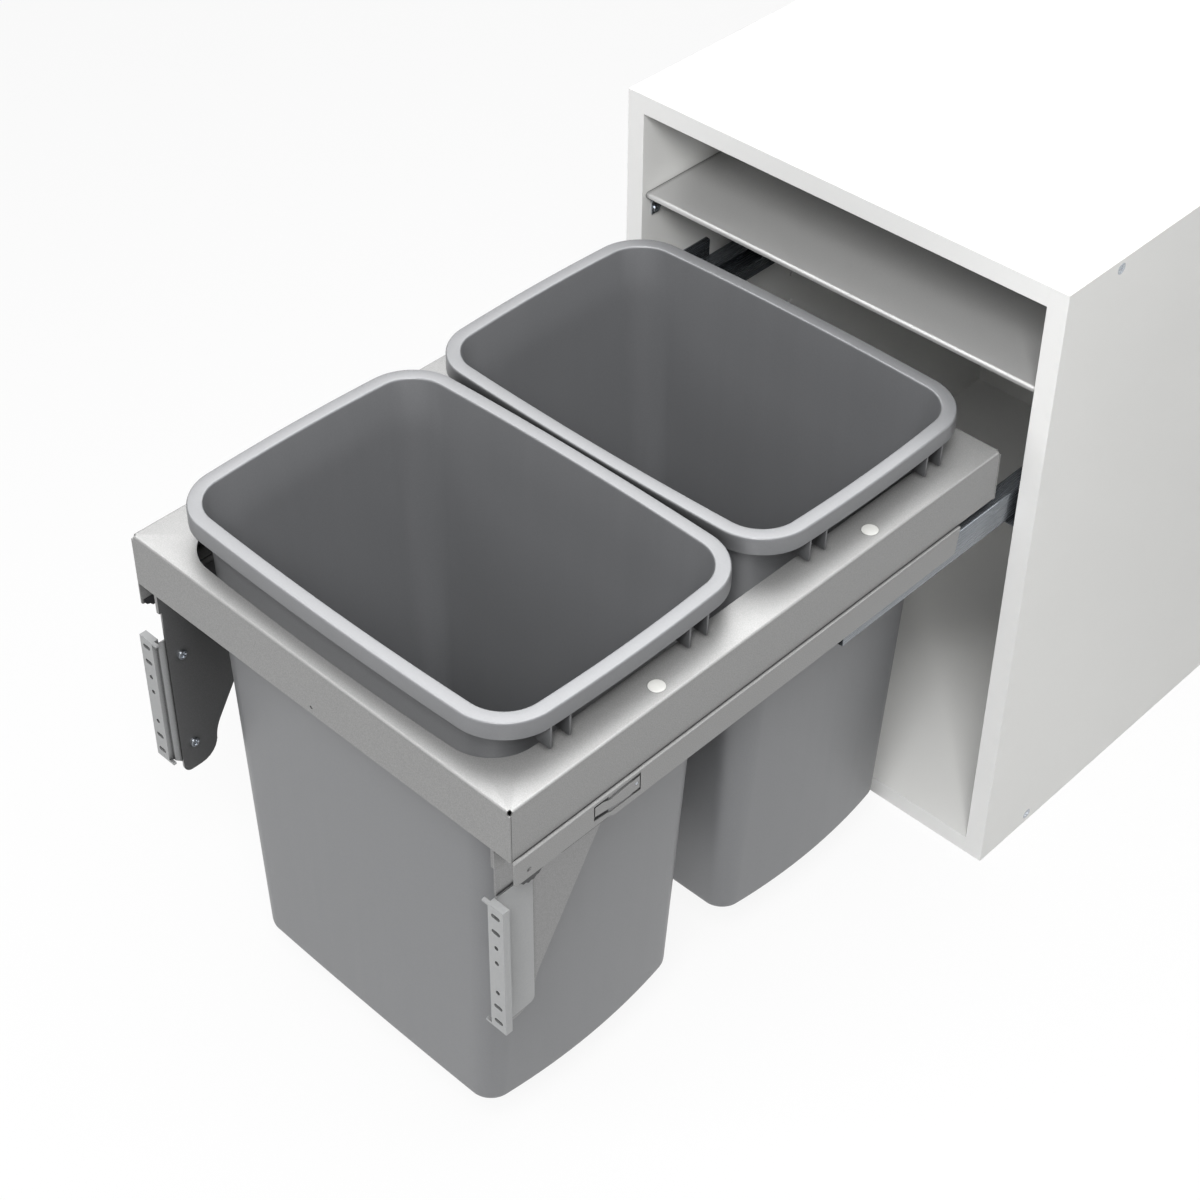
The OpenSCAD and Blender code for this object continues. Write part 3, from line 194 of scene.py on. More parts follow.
def softened(node, material, width, segments=2, fold=None):
    """Copy of a CAD node with its triangles merged into faces, and the edges that turn by more
    than 35 degrees rounded. fold is a distance from the middle, a height and a radius in
    millimetres: the edge along the drawer there takes that radius."""
    angle = 35
    mesh = frame["nodes"][node].data.copy()
    mesh.name = node + "_shape"
    if mesh.has_custom_normals:
        mesh.attributes.remove(mesh.attributes["custom_normal"])
    shape = bmesh.new()
    shape.from_mesh(mesh)
    bmesh.ops.remove_doubles(shape, verts=shape.verts, dist=CLOSE * MM)
    bmesh.ops.dissolve_limit(shape, angle_limit=math.radians(1.0), verts=shape.verts,
                             edges=shape.edges)
    if fold:
        out, height, radius = (size * MM for size in fold)
        along = [e for e in shape.edges if all(
            abs(abs(v.co.x) - out) + abs(v.co.z - height) < CLOSE * MM for v in e.verts)]
        bmesh.ops.bevel(shape, geom=along, offset=radius, segments=5, profile=0.5,
                        affect="EDGES")
    shape.to_mesh(mesh)
    shape.free()
    mesh.shade_smooth()
    mesh.set_sharp_from_angle(angle=math.radians(angle))
    piece = stand_in(mesh, node, material)
    edge_bevel(piece, width, segments, angle)
    return piece


# Melamine paper pressed on chipboard: an even, satin white with a very fine orange peel of
# 1.1 mm, as the real one is, and plain tape of one tone on the front edges
melamine, tree = new_material("white_melamine_pressed")
where = add(tree, "ShaderNodeTexCoord")
peel = add(tree, "ShaderNodeTexNoise", None,
           {"Vector": where.outputs["Object"], "Scale": 900.0, "Detail": 2.0})
relief = add(tree, "ShaderNodeBump", None,
             {"Height": peel.outputs["Fac"], "Strength": 0.04, "Distance": 0.0002})
cloud = add(tree, "ShaderNodeTexNoise", None,
            {"Vector": where.outputs["Object"], "Scale": 6.0, "Detail": 3.0})
tone = add(tree, "ShaderNodeMix", {"data_type": "RGBA"},
           {0: cloud.outputs["Fac"], 6: linear("#d9d9d7"), 7: linear("#dededc")})
axes = add(tree, "ShaderNodeSeparateXYZ", None, {"Vector": where.outputs["Object"]})
taped = add(tree, "ShaderNodeMath", {"operation": "LESS_THAN"},
            {0: axes.outputs["Y"], 1: (FRONT_Y + TAPE) * MM})
tone = add(tree, "ShaderNodeMix", {"data_type": "RGBA"},
           {0: taped.outputs[0], 6: tone.outputs[2], 7: linear("#dcdcdb")})
board = add(tree, "ShaderNodeBsdfPrincipled", None,
            {"Base Color": tone.outputs[2], "Roughness": 0.55, "Specular IOR Level": 0.3,
             "Normal": relief.outputs[0]})
add(tree, "ShaderNodeOutputMaterial", None, {"Surface": board.outputs[0]})
for node in ("side_panel_left", "side_panel_right", "top_panel", "bottom_panel", "back_panel"):
    softened(node, melamine, 0.4 * MM)

# Fixings: zinc plated steel screws with a cross recess, and rivets with domed
# heads, turned and headed from wire.
def grid_faces(rows, columns, closed):
    """Quads of a grid whose points are numbered row by row. closed joins the last column to
    the first."""
    row, column = np.meshgrid(np.arange(rows - 1), np.arange(columns if closed else columns - 1),
                              indexing="ij")
    after = (column + 1) % columns
    return np.stack([row * columns + column, row * columns + after,
                     (row + 1) * columns + after, (row + 1) * columns + column],
                    axis=2).reshape(-1, 4)


def new_mesh(name, points, faces, angle=30):
    """Mesh from metres and faces, smooth except where it turns by more than an angle. Points
    that no face uses are left out."""
    points = np.asarray(points).reshape(-1, 3)
    used, place = np.unique(np.concatenate([np.asarray(f) for f in faces]), return_inverse=True)
    ends = np.cumsum([len(f) for f in faces])[:-1]
    mesh = bpy.data.meshes.new(name)
    mesh.from_pydata(points[used].tolist(), [], [f.tolist() for f in np.split(place, ends)])
    mesh.update()
    mesh.shade_smooth()
    mesh.set_sharp_from_angle(angle=math.radians(angle))
    return mesh


# Cross recess, in shares of the head's radius: half width of an arm and the slope of its sides,
# reach of an arm and the slope of its end
ARM_HALF, ARM_SLOPE, ARM_REACH, END_SLOPE = 0.20, 0.06, 0.62, 0.10


def turned(profile, seat, way, recess=0.0, around=32):
    """Points and faces of a piece turned about an axis through seat. Each row of profile is a
    radius and a distance along way, a signed axis (1 is +X, 3 is +Z), from the shank's end to
    the middle of the head. A point is seat plus the distance along the axis plus the radius
    times (cos, sin) across it. recess sinks a cross into rows above distance 0: its depth is
    the recess times a smooth step of the distance inside each arm."""
    profile = np.asarray(profile, float)
    angle = np.linspace(0.0, 2 * np.pi, around, endpoint=False) * np.sign(way)
    radius, reach = profile[:, :1], np.repeat(profile[:, 1:], around, axis=1)
    u, v = radius * np.cos(angle), radius * np.sin(angle)
    if recess:
        arm = profile[:, 0].max()
        across = np.minimum(abs(u), abs(v)) / arm
        along = np.maximum(abs(u), abs(v)) / arm
        sunk = (np.clip((ARM_HALF - across) / ARM_SLOPE, 0, 1)
                * np.clip((ARM_REACH - along) / END_SLOPE, 0, 1))
        head = np.arange(len(profile)) > profile[:, 0].argmax()
        reach = reach - recess * sunk * head[:, None]
    axis = abs(way) - 1
    points = np.empty(u.shape + (3,))
    points[..., axis] = seat[axis] + np.sign(way) * reach
    points[..., (axis + 1) % 3] = seat[(axis + 1) % 3] + u
    points[..., (axis + 2) % 3] = seat[(axis + 2) % 3] + v
    rows = len(profile)
    faces = [list(f) for f in grid_faces(rows, around, True)]
    faces.append(list(range(around))[::-1])
    faces.append(list(range((rows - 1) * around, rows * around)))
    return points.reshape(-1, 3), faces


def gathered(name, pieces):
    """One mesh, in metres, from (points, faces) pairs in millimetres."""
    points, faces = [], []
    for part_points, part_faces in pieces:
        start = sum(len(p) for p in points)
        points.append(part_points)
        faces += [[start + k for k in f] for f in part_faces]
    return new_mesh(name, np.concatenate(points) * MM, faces)


def headed(shank_r, shank_l, head_r, head_h):
    """Profile of a screw or rivet, seated at distance 0: a shank, the head's underside, its side
    and a crowned top. The crown falls by a fifth of the head's height with the square of the
    radius."""
    share = np.array([1.0, 0.97, 0.9, 0.8, 0.7, 0.6, 0.5, 0.4, 0.3, 0.22, 0.15, 0.08, 0.02])
    crown = np.stack([head_r * share, head_h * (1.0 - 0.2 * share ** 2)], axis=1)
    crown[0, 1] -= 0.12 * head_h
    return [(shank_r * 0.85, -shank_l), (shank_r, -shank_l + 0.15 * shank_r),
            (shank_r, 0.0), (head_r, 0.0), *crown]


# Bright zinc plating, passivated: a cool blue-grey with a fine drawn grain along the wire or
# strip. The grain is 0.9 mm apart, drawn about three times coarser than real, to show
def zinc_plate(name, tone, low, high, metal=1.0):
    """Zinc finish with a base tone, a range of roughness along the drawn grain and a share of
    metal under the passivation."""
    material, tree = new_material(name)
    where = add(tree, "ShaderNodeTexCoord")
    stretch = add(tree, "ShaderNodeMapping", None,
                  {"Vector": where.outputs["Object"], "Scale": (1100.0, 14.0, 1100.0)})
    drawn = add(tree, "ShaderNodeTexNoise", None,
                {"Vector": stretch.outputs[0], "Scale": 1.0, "Detail": 3.0})
    cloud = add(tree, "ShaderNodeTexNoise", None,
                {"Vector": where.outputs["Object"], "Scale": 60.0, "Detail": 2.0})
    hue = add(tree, "ShaderNodeMix", {"data_type": "RGBA", "blend_type": "MULTIPLY"},
              {0: cloud.outputs["Fac"], 6: linear(tone), 7: linear("#e2e5e9")})
    gloss = add(tree, "ShaderNodeMapRange", None,
                {"Value": drawn.outputs["Fac"], "To Min": low, "To Max": high})
    relief = add(tree, "ShaderNodeBump", None,
                 {"Height": drawn.outputs["Fac"], "Strength": 0.10, "Distance": 0.0001})
    steel = add(tree, "ShaderNodeBsdfPrincipled", None,
                {"Base Color": hue.outputs[2], "Metallic": metal, "Roughness": gloss.outputs[0],
                 "Normal": relief.outputs[0]})
    add(tree, "ShaderNodeOutputMaterial", None, {"Surface": steel.outputs[0]})
    return material


# The rails' zinc is the same plating as the wire's; its tone is painted darker as a painted
# reflection of a dim room
zinc = zinc_plate("zinc_plated_steel_rolled_painted_dark", "#7c8084", 0.20, 0.34, 0.80)
bright_zinc = zinc_plate("zinc_plated_steel_wire", "#b4b8bd", 0.22, 0.34)

PANEL_X = 207.0                  # inner faces of the side panels, out from the middle
carcass_screw = [(2.5, -50.0), (3.5, -48.0), (3.5, -4.0), (5.0, -4.0), (5.0, -0.2),
                 *((5.0 * s, -0.05) for s in (0.97, 0.9, 0.8, 0.7, 0.6, 0.5, 0.4, 0.3, 0.2, 0.1,
                                              0.02))]
rail_screw = [(1.6, -13.0), (2.0, -12.4), (2.0, 0.0), (3.45, 1.1),
              *((3.5 * s, 1.15) for s in (0.95, 0.85, 0.72, 0.6, 0.5, 0.4, 0.3, 0.2, 0.1, 0.02))]
RIVETED = [(y, 420.0) for y in (-845.82, -799.95, -754.08)]
# Kinds of each node: profile, recess, side that the head faces (1 is outwards), distance from
# the middle, and (y, z) places. Both hands of the cabinet have the same
FIXINGS = {
    "carcass_screws": [(carcass_screw, 1.2, 1, 225.0,
                        [(y, z) for y in (-230.0, 230.0) for z in (9.0, 611.0)])],
    "shelf_screws": [(headed(2.0, 14.5, 3.5, 2.0), 0.9, -1, 205.5,
                      [(-283.43, 501.47), (253.22, 501.47)])],
    "rail_screws": [(rail_screw, 0.8, -1, PANEL_X,
                     [(-217.8, 423.0), (-252.5, 423.0), (-18.5, 392.9), (215.44, 392.9)])],
    "adapter_screws": [(headed(2.0, 3.2, 4.0, 2.0), 1.2, -1, 182.0,
                        [(-849.5, 262.1), (-849.5, 358.3)])],
    "bracket_rivets": [(headed(2.0, 3.2, 3.5, 1.0), 0.0, -1, 182.0, RIVETED),
                       (headed(1.9, 3.2, 3.5, 1.0), 0.0, 1, 185.2, RIVETED)],
}
for node, kinds in FIXINGS.items():
    pieces = [turned(head, (hand * out, y, z), hand * facing, recess)
              for hand in (-1, 1) for head, recess, facing, out, places in kinds
              for y, z in places]
    stand_in(gathered(node + "_shape", pieces), node, bright_zinc)
for node in ("catch_pins", "tray_rivets"):
    softened(node, bright_zinc, 0.4 * MM)

# Cover shelf: one folded steel sheet with a silver powder coat, that closes the
# bins when the drawer is in. It rests on four zinc plated angles.
def folded_path(corners, radii, steps=6):
    """Open path in a plane through corners, each rounded by an arc of its radius. The arc is
    the circle that touches both legs: its points turn evenly about the centre."""
    corners = np.asarray(corners, float)
    path = [corners[0]]
    for before, corner, after, r in zip(corners, corners[1:], corners[2:], radii):
        into = (corner - before) / np.linalg.norm(corner - before)
        out = (after - corner) / np.linalg.norm(after - corner)
        bend = math.acos(np.clip(into @ out, -1, 1))
        reach = r * math.tan(bend / 2)
        start, centre = corner - into * reach, corner - into * reach + r * (
            out - into * (into @ out)) / np.linalg.norm(out - into * (into @ out))
        for a in np.linspace(0.0, bend, steps + 1):
            path.append(centre + (start - centre) * math.cos(a) + into * r * math.sin(a))
    path.append(corners[-1])
    return np.array(path)


def as_sheet(piece, thick, edge):
    """Gives an open surface the thickness of its sheet, on the side away from its normals, and
    rounds the cut edges. Both sizes are in millimetres."""
    wall = piece.modifiers.new("sheet", "SOLIDIFY")
    wall.thickness = thick * MM
    wall.offset = -1.0
    wall.use_even_offset = True
    edge_bevel(piece, edge * MM, 2, 50)


def folded_sheet(node, path, axes, ends, thick, material):
    """Sheet carried straight along one axis from an open path in the plane of two others. axes
    are the path's two axes and the axis it runs along. The thickness grows to the right of the
    path."""
    points = np.zeros((2, len(path), 3))
    points[..., axes[0]], points[..., axes[1]] = path[:, 0], path[:, 1]
    points[..., axes[2]] = np.array(ends)[:, None]
    faces = [list(f) for f in grid_faces(2, len(path), False)]
    as_sheet(stand_in(new_mesh(node + "_shape", points * MM, faces), node, material), thick, 0.25)


def painted_gap_shade(tree, tone, reach, power):
    """Painted shade: a tone that goes dark in gaps narrower than about reach, where the last
    bounces
    of light run thin: open sky at that reach, to a power, mixes it with near black."""
    sky = add(tree, "ShaderNodeAmbientOcclusion", {"samples": 6}, {"Distance": reach})
    share = add(tree, "ShaderNodeMath", {"operation": "POWER"}, {0: sky.outputs["AO"], 1: power})
    return add(tree, "ShaderNodeMix", {"data_type": "RGBA"},
               {0: share.outputs[0], 6: linear("#101010"), 7: tone.outputs[2]})


# Silver powder coat: aluminium flakes in a clear binder, baked on. It gives a pale metal grey
# with a fine sparkle of 0.7 mm, drawn about four times coarser than real, and a faint peel
def powder_coat(name, dark, light, roughness, metal=0.45):
    """Silver coat from the tones of its binder and flakes, its roughness and share of flakes."""
    material, tree = new_material(name)
    where = add(tree, "ShaderNodeTexCoord")
    grit = add(tree, "ShaderNodeTexNoise", None,
               {"Vector": where.outputs["Object"], "Scale": 1400.0, "Detail": 1.0})
    flakes = add(tree, "ShaderNodeMapRange", None,
                 {"Value": grit.outputs["Fac"], "From Min": 0.3, "From Max": 0.7})
    tone = add(tree, "ShaderNodeMix", {"data_type": "RGBA"},
               {0: flakes.outputs[0], 6: linear(dark), 7: linear(light)})
    gloss = add(tree, "ShaderNodeMapRange", None,
                {"Value": grit.outputs["Fac"], "From Min": 0.3, "From Max": 0.7,
                 "To Min": roughness + 0.05, "To Max": roughness - 0.05})
    relief = add(tree, "ShaderNodeBump", None,
                 {"Height": grit.outputs["Fac"], "Strength": 0.08, "Distance": 0.0001})
    # Painted shade: the coat goes near black in gaps narrower than 5 mm, such as the catch window
    # and the joints under the tray
    tone = painted_gap_shade(tree, tone, 5 * MM, 1.5)
    coat = add(tree, "ShaderNodeBsdfPrincipled", None,
               {"Base Color": tone.outputs[2], "Metallic": metal, "Roughness": gloss.outputs[0],
                "Normal": relief.outputs[0]})
    add(tree, "ShaderNodeOutputMaterial", None, {"Surface": coat.outputs[0]})
    return material


silver = powder_coat("silver_powder_coat_on_steel", "#7e7e7e", "#8c8c8b", 0.44)
shelf_silver = powder_coat("silver_powder_coat_smooth", "#acacac", "#b8b8b7", 0.36)
SHELF = dict(back=276.75, front=-294.5, top=521.0, low=517.8, fold=1.4, half=206.75, sheet=1.2)
path = folded_path([(SHELF["back"], SHELF["top"]), (SHELF["front"], SHELF["top"]),
                    (SHELF["front"], SHELF["low"])], [SHELF["fold"]])
folded_sheet("cover_shelf", path[::-1], (1, 2, 0), (-SHELF["half"], SHELF["half"]),
             SHELF["sheet"], shelf_silver)
for node in ("shelf_brackets_left", "shelf_brackets_right"):
    softened(node, bright_zinc, 0.4 * MM)

# Runners: zinc plated cabinet and middle rails, drawer rails in the tray's
# silver, roller cages in black plastic with white rollers, and a spring catch
# with its black release grip in the window of each drawer rail.

# Middle rail: near and far are distances in from the panel, start and end are its ends along y
MIDDLE_RAIL = dict(near=4.4, far=19.4, low=392.2, top=421.2, lip=6.0, start=-513.0, end=-33.0,
                   sheet=1.2, fold=1.7)
near, far, low, top, lip, start, end, sheet, fold = MIDDLE_RAIL.values()
DRAWER_RAIL_FOLD = (205.0, 430.0, 2.0)
for side, hand in (("left", -1), ("right", 1)):
    softened(f"cabinet_rail_{side}", zinc, 0.5 * MM)
    path = folded_path([(far, top - lip), (far, top), (near, top), (near, low), (far, low),
                        (far, low + lip)], [fold] * 4)
    path[:, 0] = hand * (PANEL_X - path[:, 0])
    folded_sheet(f"middle_rail_{side}", path[::hand], (0, 2, 1), (start, end), sheet, zinc)
    softened(f"drawer_rail_{side}", silver, 0.3 * MM, 2, fold=DRAWER_RAIL_FOLD)
    softened(f"release_catch_{side}", silver, 0.5 * MM, 3)

# Acetal, moulded: a slightly waxy plastic with faint flow marks; black with carbon in the cages
# and grips, natural white in the rollers and plugs. Its marks are 5 mm apart
def acetal(name, dark, light, roughness):
    """Moulded acetal from two close tones and a middle roughness."""
    material, tree = new_material(name)
    where = add(tree, "ShaderNodeTexCoord")
    flow = add(tree, "ShaderNodeTexNoise", None,
               {"Vector": where.outputs["Object"], "Scale": 200.0, "Detail": 3.0,
                "Distortion": 0.6})
    tone = add(tree, "ShaderNodeMix", {"data_type": "RGBA"},
               {0: flow.outputs["Fac"], 6: linear(dark), 7: linear(light)})
    gloss = add(tree, "ShaderNodeMapRange", None,
                {"Value": flow.outputs["Fac"], "To Min": roughness - 0.08,
                 "To Max": roughness + 0.08})
    relief = add(tree, "ShaderNodeBump", None,
                 {"Height": flow.outputs["Fac"], "Strength": 0.05, "Distance": 0.0002})
    resin = add(tree, "ShaderNodeBsdfPrincipled", None,
                {"Base Color": tone.outputs[2], "Roughness": gloss.outputs[0],
                 "Normal": relief.outputs[0]})
    add(tree, "ShaderNodeOutputMaterial", None, {"Surface": resin.outputs[0]})
    return material


black = acetal("black_acetal_moulded", "#18181a", "#232326", 0.45)
pale = acetal("white_acetal_moulded", "#b6b6b3", "#c1c1be", 0.42)
for side in ("left", "right"):
    softened(f"release_grip_{side}", black, 0.2 * MM)
    for height in ("lower", "upper"):
        softened(f"{height}_cage_{side}", black, 0.3 * MM)
        softened(f"{height}_rollers_{side}", pale, 0.3 * MM)

# Tray frame: one sheet with a bowed opening, its four flanges folded down, a
# lip turned in under each side and a small relief at each corner of its top.
TRAY = dict(half=(203.0, 269.0), y=-597.0, top=478.0, low=430.0, sheet=1.2, fold=1.8,
            butt=1.55, before_butt=2.3, relief=3.0, dip=1.6, lip=14.0, lip_fold=1.5,
            hole=(0.0, 436.5), hole_r=1.5, hole_rows=(440.0, 446.0))
# Half width, half depth, corner radius, side bow, front bow, middle y
OPENING = [170.0, 255.0, 38.0, 0.0, 5.0, -593.0]


def ring(size, arc, side):
    """Rounded rectangle whose sides bow outwards, walked counter-clockwise from the middle of
    the corner at +x +y, with arc steps to a corner and side steps to a side. The columns of
    size are half width, half depth, corner radius, side bow, front bow and middle y; each row
    gives one ring. A point is its corner's centre plus the radius at its angle, the straight
    sides run evenly between centres, and a side moves out by bow * (1 - (place / half)^2)."""
    a, b, r, bow_x, bow_y, mid = (np.atleast_2d(size)[:, k:k + 1] for k in range(6))
    corner = np.array([[1, 1], [-1, 1], [-1, -1], [1, -1]], float)
    steps = np.arange(4 * (arc + side)) + arc // 2
    quarter, step = np.divmod(steps, arc + side)
    angle = np.radians(90.0 * quarter + 90.0 * np.minimum(step, arc) / arc)
    slide = np.clip(step - arc, 0, None) / side
    here, after = corner[quarter % 4], corner[(quarter + 1) % 4]
    place = here * (1 - slide[:, None]) + after * slide[:, None]
    x = place[:, 0] * (a - r) + r * np.cos(angle)
    y = place[:, 1] * (b - r) + r * np.sin(angle)
    return np.stack([x + bow_x * (1 - (y / b) ** 2) * x / a,
                     y + bow_y * (1 - (x / a) ** 2) * y / b + mid], axis=2)


def cornered_ring(half, corner, side):
    """Rectangle of half sizes with any corner, walked as ring() does. corner holds the points
    of one corner, from the side at +x to the side at +y, as distances in from both sides; the
    others mirror it. The sides run evenly between corners, in side steps."""
    half, corner = np.asarray(half, float), np.asarray(corner, float)
    signs = [(1, 1), (-1, 1), (-1, -1), (1, -1)]
    turns = [((half - corner[::1 if k % 2 == 0 else -1]) * signs[k]) for k in range(4)]
    slide = (np.arange(1, side) / side)[:, None]
    legs = [np.concatenate([turns[k], turns[k][-1] * (1 - slide) + turns[(k + 1) % 4][0] * slide])
            for k in range(4)]
    return np.roll(np.concatenate(legs), -((len(corner) - 1) // 2), axis=0)


half, fold, relief_w = TRAY["half"], TRAY["fold"], TRAY["relief"]
ARC, SIDE, OPENING_ARC, HOLE_STEPS = 7, 25, 12, 24
wall_corner = [(0.0, relief_w), (0.0, TRAY["before_butt"]), (0.0, TRAY["butt"]),
               *((relief_w * k / 4, 0.0) for k in range(5))]
# The folds of two flanges meet the flat top at the relief's inner corner, in two straight legs
leg = np.linspace(0.0, 2.0, ARC + 1)[:, None]
top_corner = np.where(leg < 1.0, np.array([fold, relief_w]) * (1 - leg) + relief_w * leg,
                      relief_w * (2 - leg) + np.array([relief_w, fold]) * (leg - 1))
wall = cornered_ring(half, wall_corner, SIDE)
edge = cornered_ring(half, top_corner, SIDE)
opening = ring([OPENING], OPENING_ARC, ARC + SIDE - OPENING_ARC)[0]
columns = len(wall)
at_corner = ((abs(wall[:, 0]) > half[0] - relief_w - CLOSE)
             & (abs(wall[:, 1]) > half[1] - relief_w - CLOSE))
inside_corner = at_corner & ~(np.isclose(abs(wall[:, 0]), half[0] - relief_w)
                              | np.isclose(abs(wall[:, 1]), half[1] - relief_w))
lipped = np.isclose(abs(wall[:, 0]), half[0]) & (abs(wall[:, 1]) <= half[1] - relief_w + CLOSE)
inwards = -np.sign(wall[:, :1]) * [1.0, 0.0]


def level_row(xy, z):
    """Row of points from their places and their heights, or one height for all."""
    return np.column_stack([xy, np.broadcast_to(z, len(xy))])


low, top = TRAY["low"], TRAY["top"]
rows_of_points = [level_row(wall + inwards * TRAY["lip"], low)]
for share in np.linspace(0.0, 1.0, 5):
    bend = share * math.pi / 2
    under = level_row(wall + inwards * TRAY["lip_fold"] * (1 - math.sin(bend)),
                      low + TRAY["lip_fold"] * (1 - math.cos(bend)))
    plain = level_row(wall, low + TRAY["lip_fold"] * (share if share == 1.0 else 0.0))
    rows_of_points.append(np.where(lipped[:, None], under, plain))
lip_rows = len(rows_of_points)
rows_of_points += [level_row(wall, z) for z in TRAY["hole_rows"]]
dip = np.where(inside_corner, TRAY["dip"], 0.0)
for share in np.linspace(0.0, 1.0, 7):
    bend = (1 - share) * math.pi / 2
    height = top - fold * (1 - math.cos(bend)) - (dip if share == 0.0 else 0.0)
    rows_of_points.append(level_row(edge + (wall - edge) * math.sin(bend), height))
rows_of_points.append(level_row(opening - (0.0, TRAY["y"]), top))
sheet = np.stack(rows_of_points) + (0.0, TRAY["y"], 0.0)
rows = len(sheet)
faces = grid_faces(rows, columns, True)
row_of, column_of = np.divmod(faces[:, 0], columns)
next_column = (column_of + 1) % columns
keep = (row_of >= lip_rows - 2) | (lipped[column_of] & lipped[next_column]
                                   & (wall[column_of, 0] * wall[next_column, 0] > 0))
first_fold = lip_rows + len(TRAY["hole_rows"])
keep &= ~((row_of >= first_fold) & (row_of < rows - 2)
          & at_corner[column_of] & at_corner[next_column])
# The side flanges stop short of the end flanges, which leaves a thin open joint
from_end = half[1] - abs(wall[:, 1])
keep &= ((row_of >= rows - 2) | (np.minimum(from_end[column_of], from_end[next_column]) > CLOSE)
         | (abs(from_end[column_of] - from_end[next_column]) < 1.0))
# The cell of the front flange that holds the small hole becomes four faces round it
hole_row = (row_of == lip_rows - 1) & np.isclose(wall[column_of, 1], -half[1]) & (
    wall[column_of, 0] < TRAY["hole"][0]) & (wall[next_column, 0] > TRAY["hole"][0])
cell = faces[hole_row][0]
keep &= ~hole_row
turn_at = np.radians(225.0 + 360.0 / HOLE_STEPS * np.arange(HOLE_STEPS))
hole_rim = np.stack([TRAY["hole"][0] + TRAY["hole_r"] * np.cos(turn_at),
                     np.full(HOLE_STEPS, TRAY["y"] - half[1]),
                     TRAY["hole"][1] + TRAY["hole_r"] * np.sin(turn_at)], axis=1)
start, fourth = rows * columns, HOLE_STEPS // 4
tray_faces = [list(f) for f in faces[keep]]
for k in range(4):
    rim = [start + (fourth * k + n) % HOLE_STEPS for n in range(fourth + 1)]
    tray_faces.append([int(cell[k]), int(cell[(k + 1) % 4]), *rim[::-1]])
tray_points = np.concatenate([sheet.reshape(-1, 3), hole_rim]) * MM
tray_mesh = new_mesh("tray_frame_shape", tray_points, tray_faces)
as_sheet(stand_in(tray_mesh, "tray_frame", silver), TRAY["sheet"], 0.22)

# Tray plugs: white plastic buttons pressed into the tray's top, each a low dome
# with a thin flange on a short stem.
PLUG = [(2.7, -4.0), (3.0, -3.7), (3.0, 0.0), (6.5, 0.0), (6.5, 0.25), (6.35, 0.42), (5.9, 0.55),
        (4.9, 0.66), (3.5, 0.74), (1.9, 0.79), (0.4, 0.8)]
PLUG_AT = [(x, y, TRAY["top"]) for x in (-190.0, 190.0) for y in (-710.0, -475.0)]
stand_in(gathered("tray_plugs_shape", [turned(PLUG, at, 3) for at in PLUG_AT]), "tray_plugs", pale)

# Front brackets: steel plates in a darker, smoother silver coat, riveted to the
# inner webs of the drawer rails.
dark_silver = powder_coat("silver_powder_coat_dark", "#808080", "#8c8c8c", 0.36, 0.95)
for node in ("front_bracket_left", "front_bracket_right"):
    softened(node, dark_silver, 0.6 * MM, 3)

# Door adapters: strips of moulded plastic with slots and holes, that a door
# screws to, each held to its plate by two screws.

# Glass filled nylon, moulded: the filler gives a dull, finely mottled grey, 2 mm across
nylon, tree = new_material("grey_glass_filled_nylon_moulded")
where = add(tree, "ShaderNodeTexCoord")
mottle = add(tree, "ShaderNodeTexNoise", None,
             {"Vector": where.outputs["Object"], "Scale": 500.0, "Detail": 4.0, "Roughness": 0.7})
tone = add(tree, "ShaderNodeMix", {"data_type": "RGBA"},
           {0: mottle.outputs["Fac"], 6: linear("#8f9091"), 7: linear("#9b9c9c")})
# Painted shade: the nylon goes near black in gaps narrower than 9 mm, in its slots, holes and
# channel
tone = painted_gap_shade(tree, tone, 9 * MM, 2.5)
relief = add(tree, "ShaderNodeBump", None,
             {"Height": mottle.outputs["Fac"], "Strength": 0.12, "Distance": 0.0001})
resin = add(tree, "ShaderNodeBsdfPrincipled", None,
            {"Base Color": tone.outputs[2], "Roughness": 0.50, "Specular IOR Level": 0.3,
             "Normal": relief.outputs[0]})
add(tree, "ShaderNodeOutputMaterial", None, {"Surface": resin.outputs[0]})
for node in ("door_adapter_left", "door_adapter_right"):
    softened(node, nylon, 0.5 * MM)

# Bins: injection moulded polypropylene with aluminium pigment, silver grey all
# through, with a tapered body, a turned-down rim and thin ribs that stand on
# the tray.

# Polypropylene, moulded: the pigment gives a soft metal sheen with faint upright flow marks,
# 12 mm apart, over the mould's spark eroded grain of 0.4 mm, drawn at 1.4 mm to show
polypropylene, tree = new_material("silver_grey_polypropylene_moulded")
where = add(tree, "ShaderNodeTexCoord")
grain = add(tree, "ShaderNodeTexNoise", None,
            {"Vector": where.outputs["Object"], "Scale": 700.0, "Detail": 2.0})
upright = add(tree, "ShaderNodeMapping", None,
              {"Vector": where.outputs["Object"], "Scale": (80.0, 80.0, 4.0)})
flow = add(tree, "ShaderNodeTexNoise", None,
           {"Vector": upright.outputs[0], "Scale": 1.0, "Detail": 2.0})
both = add(tree, "ShaderNodeMix", {"data_type": "FLOAT"},
           {0: 0.35, 2: grain.outputs["Fac"], 3: flow.outputs["Fac"]})
tone = add(tree, "ShaderNodeMix", {"data_type": "RGBA"},
           {0: both.outputs[0], 6: linear("#6a6b6d"), 7: linear("#747577")})
